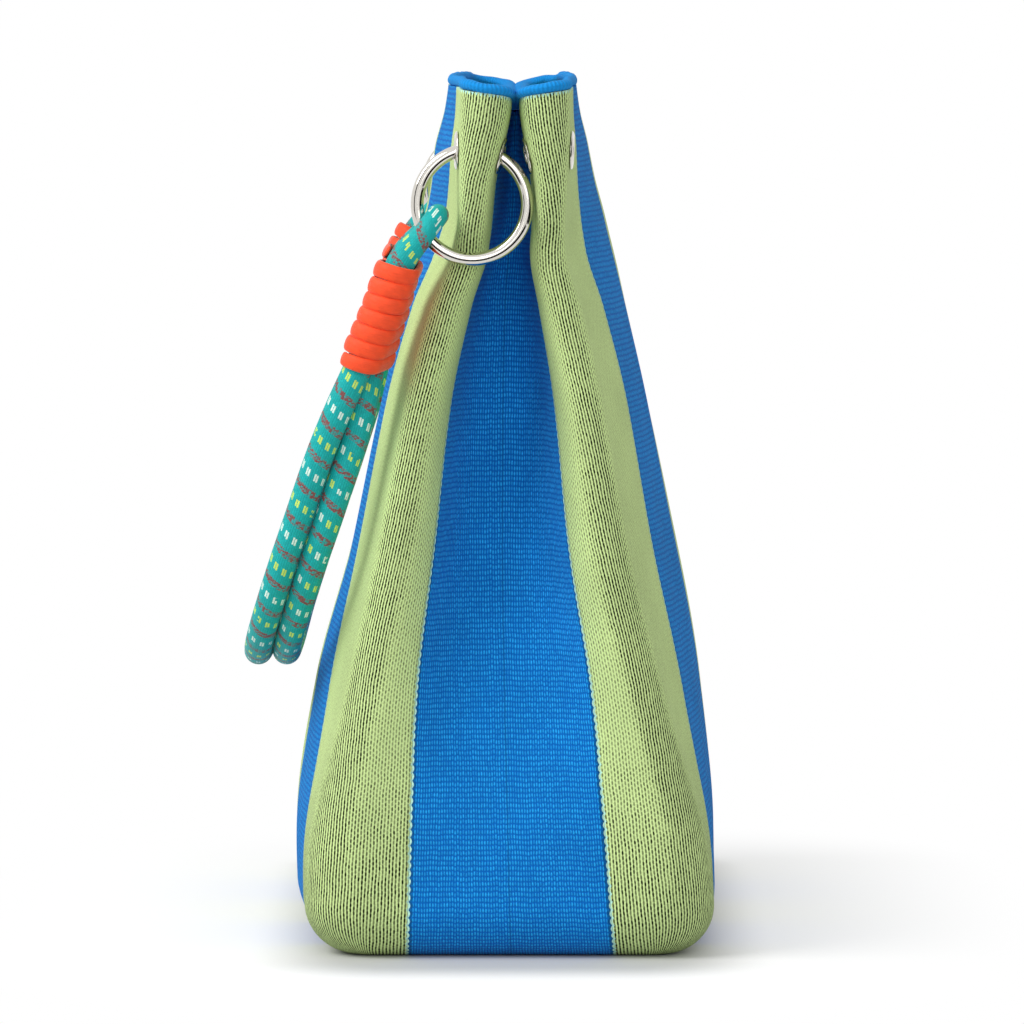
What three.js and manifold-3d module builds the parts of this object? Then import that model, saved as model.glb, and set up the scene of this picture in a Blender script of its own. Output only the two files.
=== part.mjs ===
// Knitted tote bag with a doubled rope handle hung on two metal rings.
// Millimetres. X runs along the bag, the face that carries the handle looks towards -Y, Z is up.
// The origin is the middle of the base, on the surface that the bag stands on.
import * as THREE from 'three';
import { mergeVertices } from 'three/addons/utils/BufferGeometryUtils.js';
import Module from 'manifold-3d';

const wasm = await Module();
wasm.setup();

// Body of the bag
const height = 340; // ground to the top of the rolled rim
const baseLength = 310;
const baseDepth = 160;
const faceBulge = 3; // of the middle of each face beyond its ends, at the base
const mouthLength = 337; // between the two end crests, at the rim
const mouthDepth = 50; // across the middle of the mouth
const foldDepth = 58; // how far the end gusset is tucked in at the rim
const knitWall = 3; // the doubled knit
const stripeWidth = 77; // of knit laid flat, the same for every stripe
const relaxedKnit = 0.95; // width of a stripe in the gussets and crests against its flat width
const spreadKnit = 0.09; // how much wider it is drawn at the ground
const spreadHeight = 70; // where that ends
const bottomRound = 20; // radius that the knit turns under with
const seamGap = 0.3; // between pieces that are sewn or seated on each other

// Rolled binding round the mouth
const rimWidth = 4.8;
const rimHeight = 5.6;
const valleyDip = 8; // how much lower the rim lies in the tucked gusset
const dipReach = 100; // of knit, from the tuck to where the dip ends

// Stiff base
const boardThickness = 2.5;
const boardClearance = 3.5; // to the knit that turns up round it

// Metal ring and eyelets
const ringCentreRadius = 21;
const ringWire = 5;
const ringY = -14.8;
const ringDrop = 49.2; // middle of the ring below the rim
const ringSetback = 15.6; // from the end of the mouth back to the plane of the ring
const ringPass = 1.1; // between the low side of the ring and the crest behind it
const eyeletBore = 8.8;
const eyeletBarrel = 10.2; // outside of the tube through the knit
const eyeletFlange = 14.8;
const eyeletLip = 12.2; // rolled over inside
const eyeletCrown = 0.9; // flange height above the knit
const lipThickness = 0.7;
const washerOuter = 12.4;
const washerThickness = 0.8;
const eyeletClearance = 0.3;
const washerSeat = 0.8; // washer to the inside of the knit, which curves away under it

// Rope handle: one rope, doubled, looped over a ring at each end
const ropeDiameter = 11;
const ropeAtRing = 8.5; // squeezed where it bends over the wire
const ropePitch = 11.6; // between the middles of the two strands
const contactAngle = 60; // degrees from the lowest point of the ring, towards the front
const eyeLean = 38; // degrees from straight down
const eyeReach = 8.6; // from the wire to the middle of the rope over it
const eyeGap = 0.3; // rope to wire
const buttGap = 0.5; // between the two ends of the rope
const ropeSides = 8;

// Whipping: cord wound round both strands under each ring
const whippingTurns = 7;
const stepsPerTurn = 18;
const whippingPitch = 6.2;
const whippingCordWidth = 5.6; // along the rope
const whippingCordThickness = 2.8;
const whippingStart = 12.5; // along the handle from the wire
const whippingClearance = 0.35;

const deg = Math.PI / 180;
const ringZ = height - ringDrop;
const ringPlane = mouthLength / 2 - ringSetback;
const quarterGirth = 3 * stripeWidth;
const girth = 4 * quarterGirth;
const gathered = 1.5 * stripeWidth; // of knit from the tuck to the first stripe of the face

// Smooth curve through stations without overshoot
function smooth(stations, key, z) {
  const last = stations.length - 1;
  if (z <= stations[0].z) return stations[0][key];
  if (z >= stations[last].z) return stations[last][key];
  let i = 0;
  while (z > stations[i + 1].z) i += 1;
  const slope = (k) => (stations[k + 1][key] - stations[k][key]) / (stations[k + 1].z - stations[k].z);
  const tangent = (k) => {
    if (k === 0) return slope(0);
    if (k === last) return slope(last - 1);
    const before = slope(k - 1);
    const after = slope(k);
    return before * after <= 0 ? 0 : (2 * before * after) / (before + after);
  };
  const span = stations[i + 1].z - stations[i].z;
  const t = (z - stations[i].z) / span;
  const a = stations[i][key];
  const b = stations[i + 1][key];
  return a * (1 + 2 * t) * (1 - t) ** 2 + b * t * t * (3 - 2 * t)
    + span * (tangent(i) * t * (1 - t) ** 2 - tangent(i + 1) * t * t * (1 - t));
}

// Stations up the bag. waist is how far the end crest has gone from the base to the waist under the
// rings, flare how far from there to the mouth. fold is the share of the tuck, narrow how far the
// middle of the face has gone from base depth to mouth depth, noseY and noseR the middle and radius
// of the rolled crest, wall and face the angles at which gusset and face leave it, and tuckY how wide
// the tuck opens. lean is how far the end has slumped towards the back, and sway how far the middle
// of the faces has.
const ringBottom = ringDrop + ringCentreRadius - ringWire / 2; // below the rim
const lowStations = [
  {
    share: 0, waist: 0, flare: 0, fold: 0.01, narrow: 0,
    noseY: 54, noseR: 26, wall: 1, face: 90, tuckY: 14, lean: 0, sway: -1.5,
  },
  {
    share: 0.12, waist: 0.05, flare: 0, fold: 0.05, narrow: -0.02,
    noseY: 59, noseR: 20, wall: 5, face: 88, tuckY: 18, lean: -1, sway: -2.9,
  },
  {
    share: 0.29, waist: 0.2, flare: 0, fold: 0.31, narrow: 0.095,
    noseY: 51, noseR: 13, wall: 20, face: 82, tuckY: 22, lean: -2.4, sway: -2.2,
  },
  {
    share: 0.455, waist: 0.42, flare: 0, fold: 0.58, narrow: 0.31,
    noseY: 40.6, noseR: 11, wall: 35, face: 79, tuckY: 23, lean: -3.3, sway: 0,
  },
  {
    share: 0.625, waist: 0.7, flare: 0, fold: 0.77, narrow: 0.52,
    noseY: 31.4, noseR: 9.5, wall: 47, face: 77, tuckY: 23, lean: -3.1, sway: 1.9,
  },
  {
    share: 0.735, waist: 0.9, flare: 0, fold: 0.86, narrow: 0.665,
    noseY: 22.5, noseR: 8, wall: 57, face: 80, tuckY: 19, lean: -2.3, sway: 2.5,
  },
].map((station) => ({ ...station, z: station.share * height }));
const highStations = [
  {
    below: ringBottom - 1, waist: 1, flare: 0, fold: 0.89, narrow: 0.765,
    noseY: 15.3, noseR: 6.4, wall: 70, face: 85, tuckY: 13, lean: -0.6, sway: 2.8,
  },
  {
    below: 56, waist: 1, flare: 0.3, fold: 0.92, narrow: 0.82,
    noseY: 14.7, noseR: 5.6, wall: 77, face: 87, tuckY: 7, lean: 0.4, sway: 2.9,
  },
  {
    below: 42, waist: 1, flare: 0.65, fold: 0.96, narrow: 0.88,
    noseY: 14.4, noseR: 6.1, wall: 79, face: 87, tuckY: 5, lean: 0.9, sway: 2.9,
  },
  {
    below: 29, waist: 1, flare: 0.88, fold: 0.98, narrow: 0.925,
    noseY: 13.1, noseR: 8, wall: 79.5, face: 87, tuckY: 4.5, lean: 1.3, sway: 2.8,
  },
  {
    below: 14, waist: 1, flare: 0.98, fold: 0.99, narrow: 0.965,
    noseY: 11.45, noseR: 9.45, wall: 81, face: 88, tuckY: 4, lean: 1.7, sway: 2.6,
  },
  {
    below: 0, waist: 1, flare: 1, fold: 1, narrow: 1,
    noseY: 11, noseR: 9.9, wall: 84, face: 88, tuckY: 4, lean: 1.9, sway: 2.5,
  },
].map((station) => ({ ...station, z: height - station.below }));
const stations = [...lowStations, ...highStations];

const waistX = ringPlane - ringWire / 2 - ringPass;
function crestX(z) {
  const below = baseLength / 2 + (waistX - baseLength / 2) * smooth(stations, 'waist', z);
  return below + (mouthLength / 2 - below) * smooth(stations, 'flare', z);
}

function halfDepthAt(z) {
  const narrow = smooth(stations, 'narrow', z);
  return (baseDepth + (mouthDepth - baseDepth) * narrow) / 2 + faceBulge * (1 - narrow);
}

function bezier(a, b, c, d, t) {
  const s = 1 - t;
  return a.clone().multiplyScalar(s ** 3)
    .addScaledVector(b, 3 * s * s * t)
    .addScaledVector(c, 3 * s * t * t)
    .addScaledVector(d, t ** 3);
}

// A quarter of the bag's outline at height z, from the tuck of the gusset to the middle of the face
const outlineCache = new Map();
function quarterOutline(z) {
  const key = z.toFixed(4);
  if (outlineCache.has(key)) return outlineCache.get(key);
  const at = (name) => smooth(stations, name, z);
  const crest = crestX(z);
  const noseR = at('noseR');
  const nose = new THREE.Vector2(crest - noseR, at('noseY'));
  const wallAngle = at('wall') * deg;
  const faceAngle = at('face') * deg;
  const halfDepth = halfDepthAt(z);
  const tuck = new THREE.Vector2(crest - foldDepth * at('fold'), 0);
  const noseStart = nose.clone().add(new THREE.Vector2(Math.cos(wallAngle), -Math.sin(wallAngle))
    .multiplyScalar(noseR));
  const noseEnd = nose.clone().add(new THREE.Vector2(Math.cos(faceAngle), Math.sin(faceAngle))
    .multiplyScalar(noseR));
  const wallRun = tuck.distanceTo(noseStart);
  const tuckOut = new THREE.Vector2(tuck.x, at('tuckY'));
  const wallIn = noseStart.clone().addScaledVector(
    new THREE.Vector2(Math.sin(wallAngle), Math.cos(wallAngle)), -0.3 * wallRun);
  const faceOut = noseEnd.clone().addScaledVector(
    new THREE.Vector2(-Math.sin(faceAngle), Math.cos(faceAngle)), 0.3 * noseEnd.x);
  const middle = new THREE.Vector2(0, halfDepth);
  const faceIn = new THREE.Vector2(0.42 * noseEnd.x, halfDepth);
  const points = [];
  for (let i = 0; i < 40; i += 1) points.push(bezier(tuck, tuckOut, wallIn, noseStart, i / 40));
  for (let i = 0; i < 16; i += 1) {
    const angle = -wallAngle + ((wallAngle + faceAngle) * i) / 16;
    points.push(nose.clone().add(new THREE.Vector2(Math.cos(angle), Math.sin(angle)).multiplyScalar(noseR)));
  }
  for (let i = 0; i <= 40; i += 1) points.push(bezier(noseEnd, faceOut, faceIn, middle, i / 40));
  const lengths = [0];
  for (let i = 1; i < points.length; i += 1) {
    lengths.push(lengths[i - 1] + points[i].distanceTo(points[i - 1]));
  }
  const outline = { points, lengths, total: lengths[lengths.length - 1] };
  outlineCache.set(key, outline);
  return outline;
}

// Point of the outline at s millimetres of knit round the bag from the right-hand tuck, front first
function outlinePoint(s, z) {
  const around = ((s % girth) + girth) % girth;
  const half = around % (2 * quarterGirth);
  const fromTuck = half <= quarterGirth ? half : 2 * quarterGirth - half;
  const share = fromTuck / quarterGirth;
  const { points, lengths, total } = quarterOutline(z);
  const relaxed = relaxedKnit + spreadKnit * Math.max(0, 1 - z / spreadHeight);
  const faceStretch = (total - relaxed * gathered) / (quarterGirth - gathered);
  const wanted = fromTuck <= gathered ? relaxed * fromTuck
    : relaxed * gathered + faceStretch * (fromTuck - gathered);
  let i = 0;
  while (i < lengths.length - 2 && lengths[i + 1] < wanted) i += 1;
  const t = (wanted - lengths[i]) / (lengths[i + 1] - lengths[i]);
  const point = points[i].clone().lerp(points[i + 1], t);
  const signX = around <= quarterGirth || around >= 3 * quarterGirth ? 1 : -1;
  const signY = around <= 2 * quarterGirth ? -1 : 1;
  const sway = smooth(stations, 'sway', z);
  const endward = Math.sin((Math.PI / 2) * Math.min(1, (1 - share) / 0.75));
  const slump = sway + (smooth(stations, 'lean', z) - sway) * endward;
  return new THREE.Vector2(point.x * signX, point.y * signY + slump);
}

// Outward direction of the outline
function outlineNormal(s, z) {
  const step = 0.25;
  const ahead = outlinePoint(s + step, z);
  const behind = outlinePoint(s - step, z);
  const along = ahead.sub(behind).normalize();
  return new THREE.Vector2(along.y, -along.x).multiplyScalar(-1);
}

// The knit wall: v runs up the wall from the edge that is turned under the bag
const roundRun = (bottomRound * Math.PI) / 2;
function wallOuter(s, v) {
  const turning = v < roundRun;
  const angle = turning ? (Math.PI / 2) * (1 - v / roundRun) : 0;
  const z = turning ? bottomRound * (1 - Math.sin(angle)) : bottomRound + v - roundRun;
  const inset = bottomRound * (1 - Math.cos(angle));
  const point = outlinePoint(s, z);
  const normal = outlineNormal(s, z);
  return {
    point: new THREE.Vector3(point.x - normal.x * inset, point.y - normal.y * inset, z),
    lean: angle,
    flat: normal,
  };
}

function wallNormal(s, v) {
  const { lean, flat } = wallOuter(s, v);
  if (v < roundRun) {
    return new THREE.Vector3(flat.x * Math.cos(lean), flat.y * Math.cos(lean), -Math.sin(lean));
  }
  const step = 0.5;
  const up = wallOuter(s, v + step).point.sub(wallOuter(s, v).point);
  const along = wallOuter(s + step, v).point.sub(wallOuter(s - step, v).point);
  return up.cross(along).normalize();
}

// Height of the knit's top edge under the binding, lower in the tuck
const edgeHeight = height - rimHeight - seamGap;
function topEdge(s) {
  const half = ((s % (2 * quarterGirth)) + 2 * quarterGirth) % (2 * quarterGirth);
  const fromTuck = Math.min(half, 2 * quarterGirth - half);
  const reach = Math.min(fromTuck / dipReach, 1);
  return edgeHeight - valleyDip * 0.5 * (1 + Math.cos(Math.PI * reach));
}

function topRun(s) {
  return roundRun + topEdge(s) - bottomRound;
}

// Closed solid from a grid of outer points and the matching inner points
function shellGeometry(columns, rows, pointAt) {
  const positions = [];
  const indices = [];
  const index = (side, i, j) => (side * columns + i) * rows + j;
  for (let side = 0; side < 2; side += 1) {
    for (let i = 0; i < columns; i += 1) {
      for (let j = 0; j < rows; j += 1) {
        positions.push(...pointAt(side, i, j).toArray());
      }
    }
  }
  const quad = (a, b, c, d) => indices.push(a, b, c, a, c, d);
  for (let i = 0; i < columns - 1; i += 1) {
    for (let j = 0; j < rows - 1; j += 1) {
      quad(index(0, i, j), index(0, i, j + 1), index(0, i + 1, j + 1), index(0, i + 1, j));
      quad(index(1, i, j), index(1, i + 1, j), index(1, i + 1, j + 1), index(1, i, j + 1));
    }
    quad(index(0, i, 0), index(0, i + 1, 0), index(1, i + 1, 0), index(1, i, 0));
    const top = rows - 1;
    quad(index(0, i, top), index(1, i, top), index(1, i + 1, top), index(0, i + 1, top));
  }
  for (let j = 0; j < rows - 1; j += 1) {
    quad(index(0, 0, j), index(1, 0, j), index(1, 0, j + 1), index(0, 0, j + 1));
    const end = columns - 1;
    quad(index(0, end, j), index(0, end, j + 1), index(1, end, j + 1), index(1, end, j));
  }
  const geometry = new THREE.BufferGeometry();
  geometry.setAttribute('position', new THREE.Float32BufferAttribute(positions, 3));
  geometry.setIndex(indices);
  return geometry;
}

// Rows of the grid as shares of the way from the turned edge to the top
const rowHeights = [0, 0.36, 0.7, 1].map((share) => share * roundRun);
const rowShares = [0.13, 0.21, 0.3, 0.385, 0.47, 0.555, 0.64, 0.71, 0.765, 0.81, 0.845, 0.88, 0.92, 0.955];
for (const share of rowShares) rowHeights.push(roundRun + share * height - bottomRound);

function panelGeometry(columnsOfKnit) {
  const rows = rowHeights.length + 1;
  const pointAt = (side, i, j) => {
    const s = columnsOfKnit[i];
    const top = topRun(s);
    const full = roundRun + edgeHeight - bottomRound;
    const lift = (top - roundRun) / (full - roundRun);
    const v = j === rows - 1 ? top
      : Math.min(rowHeights[j], roundRun) + Math.max(rowHeights[j] - roundRun, 0) * lift;
    const point = wallOuter(s, v).point;
    if (side === 1) point.addScaledVector(wallNormal(s, v), -knitWall);
    return point;
  };
  return shellGeometry(columnsOfKnit.length, rows, pointAt);
}

// Tube along points: a section of given sides whose half sizes and directions are set at each point
function tubeGeometry(stops, sides, closed) {
  const positions = [];
  const indices = [];
  const count = stops.length;
  for (const stop of stops) {
    for (let k = 0; k < sides; k += 1) {
      const angle = ((k + (stop.turn ?? 0)) / sides) * 2 * Math.PI;
      const point = stop.centre.clone()
        .addScaledVector(stop.across, stop.halfAcross * Math.cos(angle))
        .addScaledVector(stop.up, stop.halfUp * Math.sin(angle));
      positions.push(...point.toArray());
    }
  }
  const spans = closed ? count : count - 1;
  for (let i = 0; i < spans; i += 1) {
    const here = i * sides;
    const next = ((i + 1) % count) * sides;
    for (let k = 0; k < sides; k += 1) {
      const after = (k + 1) % sides;
      indices.push(here + k, here + after, next + after, here + k, next + after, next + k);
    }
  }
  if (!closed) {
    for (let k = 1; k < sides - 1; k += 1) {
      indices.push(0, k + 1, k);
      const end = (count - 1) * sides;
      indices.push(end, end + k, end + k + 1);
    }
  }
  const geometry = new THREE.BufferGeometry();
  geometry.setAttribute('position', new THREE.Float32BufferAttribute(positions, 3));
  geometry.setIndex(indices);
  return geometry;
}

// Sections square to a path, carried along it without twisting
function squareStops(points, radiusAt) {
  const stops = [];
  let across = null;
  for (let i = 0; i < points.length; i += 1) {
    const behind = points[Math.max(i - 1, 0)];
    const ahead = points[Math.min(i + 1, points.length - 1)];
    const tangent = ahead.clone().sub(behind).normalize();
    if (across === null) {
      across = Math.abs(tangent.y) < 0.9 ? new THREE.Vector3(0, 1, 0) : new THREE.Vector3(1, 0, 0);
    }
    across = across.clone().addScaledVector(tangent, -across.dot(tangent)).normalize();
    const up = tangent.clone().cross(across);
    const radius = radiusAt(i);
    stops.push({ centre: points[i], across, up, halfAcross: radius, halfUp: radius });
  }
  return stops;
}

function toManifold(geometry) {
  const plain = new THREE.BufferGeometry();
  plain.setAttribute('position', geometry.getAttribute('position').clone());
  if (geometry.index) plain.setIndex(geometry.index.clone());
  const merged = mergeVertices(plain, 1e-4);
  return new wasm.Manifold(new wasm.Mesh({
    numProp: 3,
    vertProperties: new Float32Array(merged.getAttribute('position').array),
    triVerts: new Uint32Array(merged.index.array),
  }));
}

function toGeometry(solid) {
  const mesh = solid.getMesh();
  const geometry = new THREE.BufferGeometry();
  geometry.setAttribute('position', new THREE.Float32BufferAttribute(mesh.vertProperties, 3));
  geometry.setIndex(Array.from(mesh.triVerts));
  return geometry;
}

// Materials
const blueKnit = new THREE.MeshStandardMaterial({ color: 0x1479c4, roughness: 0.9, metalness: 0 });
const greenKnit = new THREE.MeshStandardMaterial({ color: 0xa3b873, roughness: 0.9, metalness: 0 });
const rimBlue = new THREE.MeshStandardMaterial({ color: 0x0f6fbd, roughness: 0.85, metalness: 0 });
const nickel = new THREE.MeshStandardMaterial({ color: 0xc9c5bd, roughness: 0.12, metalness: 1 });
const tealRope = new THREE.MeshStandardMaterial({ color: 0x0f9f97, roughness: 0.75, metalness: 0 });
const orangeCord = new THREE.MeshStandardMaterial({ color: 0xe8471c, roughness: 0.7, metalness: 0 });
const greyboard = new THREE.MeshStandardMaterial({ color: 0x5c5e60, roughness: 0.95, metalness: 0 });

const bag = new THREE.Group();

function addPiece(name, geometry, material, parent = bag) {
  geometry.computeVertexNormals();
  const mesh = new THREE.Mesh(geometry, material);
  mesh.name = name;
  parent.add(mesh);
  return mesh;
}

// Eyelets: one on the face side and one on the gusset side of each of the four crests
const aroundFrom = {
  front_right: (u) => u,
  front_left: (u) => 2 * quarterGirth - u,
  back_left: (u) => 2 * quarterGirth + u,
  back_right: (u) => girth - u,
};

// Knit position where a wall of a crest passes the plane of the ring, at height z
function knitAtRing(quadrant, onGusset, z) {
  const crest = foldDepth * 1.08;
  const from = onGusset ? crest - 2 * ringSetback : crest;
  const to = onGusset ? crest : crest + 3 * ringSetback;
  let best = 0;
  let bestMiss = Infinity;
  for (let u = from; u < to; u += 0.1) {
    const miss = Math.abs(Math.abs(outlinePoint(aroundFrom[quadrant](u), z).x) - ringPlane);
    if (miss < bestMiss) {
      bestMiss = miss;
      best = u;
    }
  }
  return aroundFrom[quadrant](best);
}

// Seat of an eyelet, at the height where the wire of the ring crosses the middle of the front wall
function eyeletSeat(quadrant, onGusset) {
  let z = ringZ + 0.94 * ringCentreRadius;
  for (let round = 0; round < 3; round += 1) {
    const front = outlinePoint(knitAtRing('front_right', onGusset, z), z);
    const wallMiddle = front.y + (onGusset ? -knitWall / 2 : knitWall / 2);
    z = ringZ + Math.sqrt(ringCentreRadius ** 2 - (wallMiddle - ringY) ** 2);
  }
  const s = knitAtRing(quadrant, onGusset, z);
  const v = roundRun + z - bottomRound;
  return { point: wallOuter(s, v).point, normal: wallNormal(s, v) };
}

function eyeletGeometry(segments = 14) {
  const bore = eyeletBore / 2;
  const barrel = eyeletBarrel / 2;
  const flange = eyeletFlange / 2;
  const lipBottom = -(knitWall + washerSeat + washerThickness + seamGap + lipThickness);
  const profile = [
    [bore, lipBottom], [eyeletLip / 2, lipBottom], [eyeletLip / 2, lipBottom + lipThickness],
    [barrel, lipBottom + lipThickness], [barrel, seamGap], [flange, seamGap],
    [flange - 0.9, seamGap + eyeletCrown], [bore + 0.7, seamGap + eyeletCrown], [bore, seamGap + 0.2],
    [bore, lipBottom],
  ].map(([r, h]) => new THREE.Vector2(r, h));
  return new THREE.LatheGeometry(profile, segments);
}

function washerGeometry(segments = 14) {
  const inner = eyeletBarrel / 2 + eyeletClearance;
  const outer = washerOuter / 2;
  const top = -(knitWall + washerSeat);
  const profile = [[inner, top - washerThickness], [outer, top - washerThickness], [outer, top],
    [inner, top], [inner, top - washerThickness]].map(([r, h]) => new THREE.Vector2(r, h));
  return new THREE.LatheGeometry(profile, segments);
}

function placeOnWall(mesh, seat) {
  mesh.position.copy(seat.point);
  mesh.quaternion.setFromUnitVectors(new THREE.Vector3(0, 1, 0), seat.normal);
  return mesh;
}

const quadrants = ['front_right', 'front_left', 'back_left', 'back_right'];
const seats = quadrants.map((quadrant) => ({
  quadrant,
  outer: eyeletSeat(quadrant, false),
  inner: eyeletSeat(quadrant, true),
}));

function cutEyeletHoles(geometry, seatPair) {
  let solid = toManifold(geometry);
  for (const seat of [seatPair.outer, seatPair.inner]) {
    const drill = new THREE.CylinderGeometry(eyeletBarrel / 2 + eyeletClearance,
      eyeletBarrel / 2 + eyeletClearance, 2.4 * knitWall, 16);
    drill.translate(0, -knitWall / 2, 0);
    const square = new THREE.Quaternion().setFromUnitVectors(new THREE.Vector3(0, 1, 0), seat.normal);
    drill.applyQuaternion(square);
    drill.translate(seat.point.x, seat.point.y, seat.point.z);
    solid = solid.subtract(toManifold(drill));
  }
  return toGeometry(solid);
}

// Stripes, as millimetres of knit from the right-hand tuck
const edge = seamGap / 2;
const bandColumns = [edge, 8, 14, 18, 22, 26, 30, 35, 42, 56, stripeWidth - edge];
const gussetHalf = [0, 3, 7, 15, 27, stripeWidth / 2 - edge];

function bandAt(quadrant) {
  const from = stripeWidth / 2;
  const right = bandColumns.map((u) => from + u);
  if (quadrant === 'front_right') return right;
  if (quadrant === 'front_left') return right.map((s) => 2 * quarterGirth - s).reverse();
  if (quadrant === 'back_left') return right.map((s) => 2 * quarterGirth + s);
  return right.map((s) => girth - s).reverse();
}

for (const seatPair of seats) {
  const band = panelGeometry(bandAt(seatPair.quadrant));
  addPiece(`band_${seatPair.quadrant}_green`, cutEyeletHoles(band, seatPair), greenKnit);
}

function gussetColumns(centre) {
  const after = gussetHalf.map((u) => centre + u);
  const before = gussetHalf.slice(1).map((u) => centre - u).reverse();
  return [...before, ...after];
}
addPiece('gusset_right_blue', panelGeometry(gussetColumns(0)), blueKnit);
addPiece('gusset_left_blue', panelGeometry(gussetColumns(2 * quarterGirth)), blueKnit);

const faceSteps = 3;
function faceColumns(from) {
  const columns = [];
  for (let i = 0; i <= faceSteps; i += 1) {
    columns.push(from + edge + ((stripeWidth - 2 * edge) * i) / faceSteps);
  }
  return columns;
}
const faceStripes = [
  ['right_blue', blueKnit], ['middle_green', greenKnit], ['left_blue', blueKnit],
];
faceStripes.forEach(([name, material], i) => {
  addPiece(`front_${name}`, panelGeometry(faceColumns(gathered + i * stripeWidth)), material);
});
faceStripes.forEach(([name, material], i) => {
  const from = girth - gathered - (i + 1) * stripeWidth;
  addPiece(`back_${name}`, panelGeometry(faceColumns(from)), material);
});

// Rolled binding round the whole mouth, following the tucks
function rimColumns() {
  const quarter = [0, 3, 7, 15, 27, 38.5, 47, 53, 57, 61, 65, 69, 74, 82, 96, 115, 150, 192];
  const columns = [...quarter];
  columns.push(quarterGirth);
  for (const u of [...quarter].reverse()) columns.push(2 * quarterGirth - u);
  for (const u of quarter.slice(1)) columns.push(2 * quarterGirth + u);
  columns.push(3 * quarterGirth);
  for (const u of [...quarter].reverse()) if (u > 0) columns.push(girth - u);
  return columns;
}

function rimGeometry() {
  const stops = rimColumns().map((s) => {
    const z = topEdge(s) + seamGap + rimHeight / 2;
    const flat = outlineNormal(s, z);
    const outline = outlinePoint(s, z);
    const inset = knitWall / 2;
    return {
      centre: new THREE.Vector3(outline.x - flat.x * inset, outline.y - flat.y * inset, z),
      across: new THREE.Vector3(flat.x, flat.y, 0),
      up: new THREE.Vector3(0, 0, 1),
      halfAcross: rimWidth / 2 / Math.cos(Math.PI / 8),
      halfUp: rimHeight / 2 / Math.cos(Math.PI / 8),
      turn: 0.5,
    };
  });
  return tubeGeometry(stops, 8, true);
}
addPiece('rim_binding', rimGeometry(), rimBlue);

// Knitted bottom and the board that keeps it flat
function slabShape(inset, z) {
  const shape = new THREE.Shape();
  const columns = [0, 40, 58, 70, 76, 82, 88, 96, 110, 150, 190, 231];
  const all = [...columns];
  for (const u of [...columns].reverse().slice(1)) all.push(2 * quarterGirth - u);
  for (const u of columns.slice(1)) all.push(2 * quarterGirth + u);
  for (const u of [...columns].reverse().slice(1, -1)) all.push(girth - u);
  all.forEach((s, i) => {
    const point = outlinePoint(s, z);
    const normal = outlineNormal(s, z);
    const x = point.x - normal.x * inset;
    const y = point.y - normal.y * inset;
    if (i === 0) shape.moveTo(x, y);
    else shape.lineTo(x, y);
  });
  shape.closePath();
  return shape;
}
const bottomPanel = new THREE.ExtrudeGeometry(slabShape(bottomRound + seamGap, 0),
  { depth: knitWall, bevelEnabled: false });
addPiece('base_panel', bottomPanel, blueKnit);
const boardBottom = knitWall + seamGap;
const turnedKnit = Math.sqrt((bottomRound - knitWall) ** 2 - (bottomRound - boardBottom) ** 2);
const board = new THREE.ExtrudeGeometry(slabShape(bottomRound - turnedKnit + boardClearance, 0),
  { depth: boardThickness, bevelEnabled: false });
board.translate(0, 0, boardBottom);
addPiece('base_board', board, greyboard);

for (const seatPair of seats) {
  for (const place of ['outer', 'inner']) {
    const suffix = `${place}_${seatPair.quadrant}`;
    placeOnWall(addPiece(`eyelet_${suffix}`, eyeletGeometry(), nickel), seatPair[place]);
    placeOnWall(addPiece(`washer_${suffix}`, washerGeometry(), nickel), seatPair[place]);
  }
}

// Rings, each through the two eyelets of a front crest
for (const [name, side] of [['ring_right', 1], ['ring_left', -1]]) {
  const ring = new THREE.TorusGeometry(ringCentreRadius, ringWire / 2, 8, 40);
  ring.rotateY(Math.PI / 2);
  const mesh = addPiece(name, ring, nickel);
  mesh.position.set(side * ringPlane, ringY, ringZ);
}

// Middle of the doubled handle, from the right ring to the middle of the bag: how far out, as a share
// of the ring's place, how far it hangs off the middle of the face, how far below the wire, and how
// far the pair of strands has rolled round, in degrees. The first point is on the wire itself.
const contact = new THREE.Vector3(ringPlane, ringY - ringCentreRadius * Math.sin(contactAngle * deg),
  ringZ - ringCentreRadius * Math.cos(contactAngle * deg));
const handleRoute = [
  { out: 1, off: -5.6, drop: 0, roll: 0 },
  { out: 0.994, off: 1.5, drop: 9.9, roll: 3 },
  { out: 0.978, off: 4, drop: 30.1, roll: 10 },
  { out: 0.957, off: 6.8, drop: 50.3, roll: 24 },
  { out: 0.933, off: 8.8, drop: 70, roll: 56 },
  { out: 0.905, off: 11.6, drop: 90, roll: 80 },
  { out: 0.866, off: 14.2, drop: 110, roll: 90 },
  { out: 0.81, off: 16.8, drop: 129.5, roll: 90 },
  { out: 0.72, off: 18.4, drop: 147.5, roll: 90 },
  { out: 0.6, off: 19.3, drop: 160.5, roll: 90 },
  { out: 0.44, off: 19.5, drop: 167.6, roll: 90 },
  { out: 0.233, off: 19.5, drop: 170.5, roll: 90 },
  { out: 0, off: 19.5, drop: 171.2, roll: 90 },
];
const halfRoute = new THREE.CatmullRomCurve3(handleRoute.map(({ out, off, drop }, i) => {
  const z = contact.z - drop;
  return new THREE.Vector3(contact.x * out, i === 0 ? contact.y : -halfDepthAt(z) - off, z);
}));
halfRoute.arcLengthDivisions = 600;
const halfLength = halfRoute.getLength();

// Distance along the route to each of its points
const routeRuns = handleRoute.map((point, i) => {
  const samples = 60;
  let run = 0;
  for (let k = 1; k <= samples * i; k += 1) {
    const spans = samples * (handleRoute.length - 1);
    run += halfRoute.getPoint(k / spans).distanceTo(halfRoute.getPoint((k - 1) / spans));
  }
  return run;
});
const rollStations = handleRoute.map(({ roll }, i) => ({ z: routeRuns[i], roll }));

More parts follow.
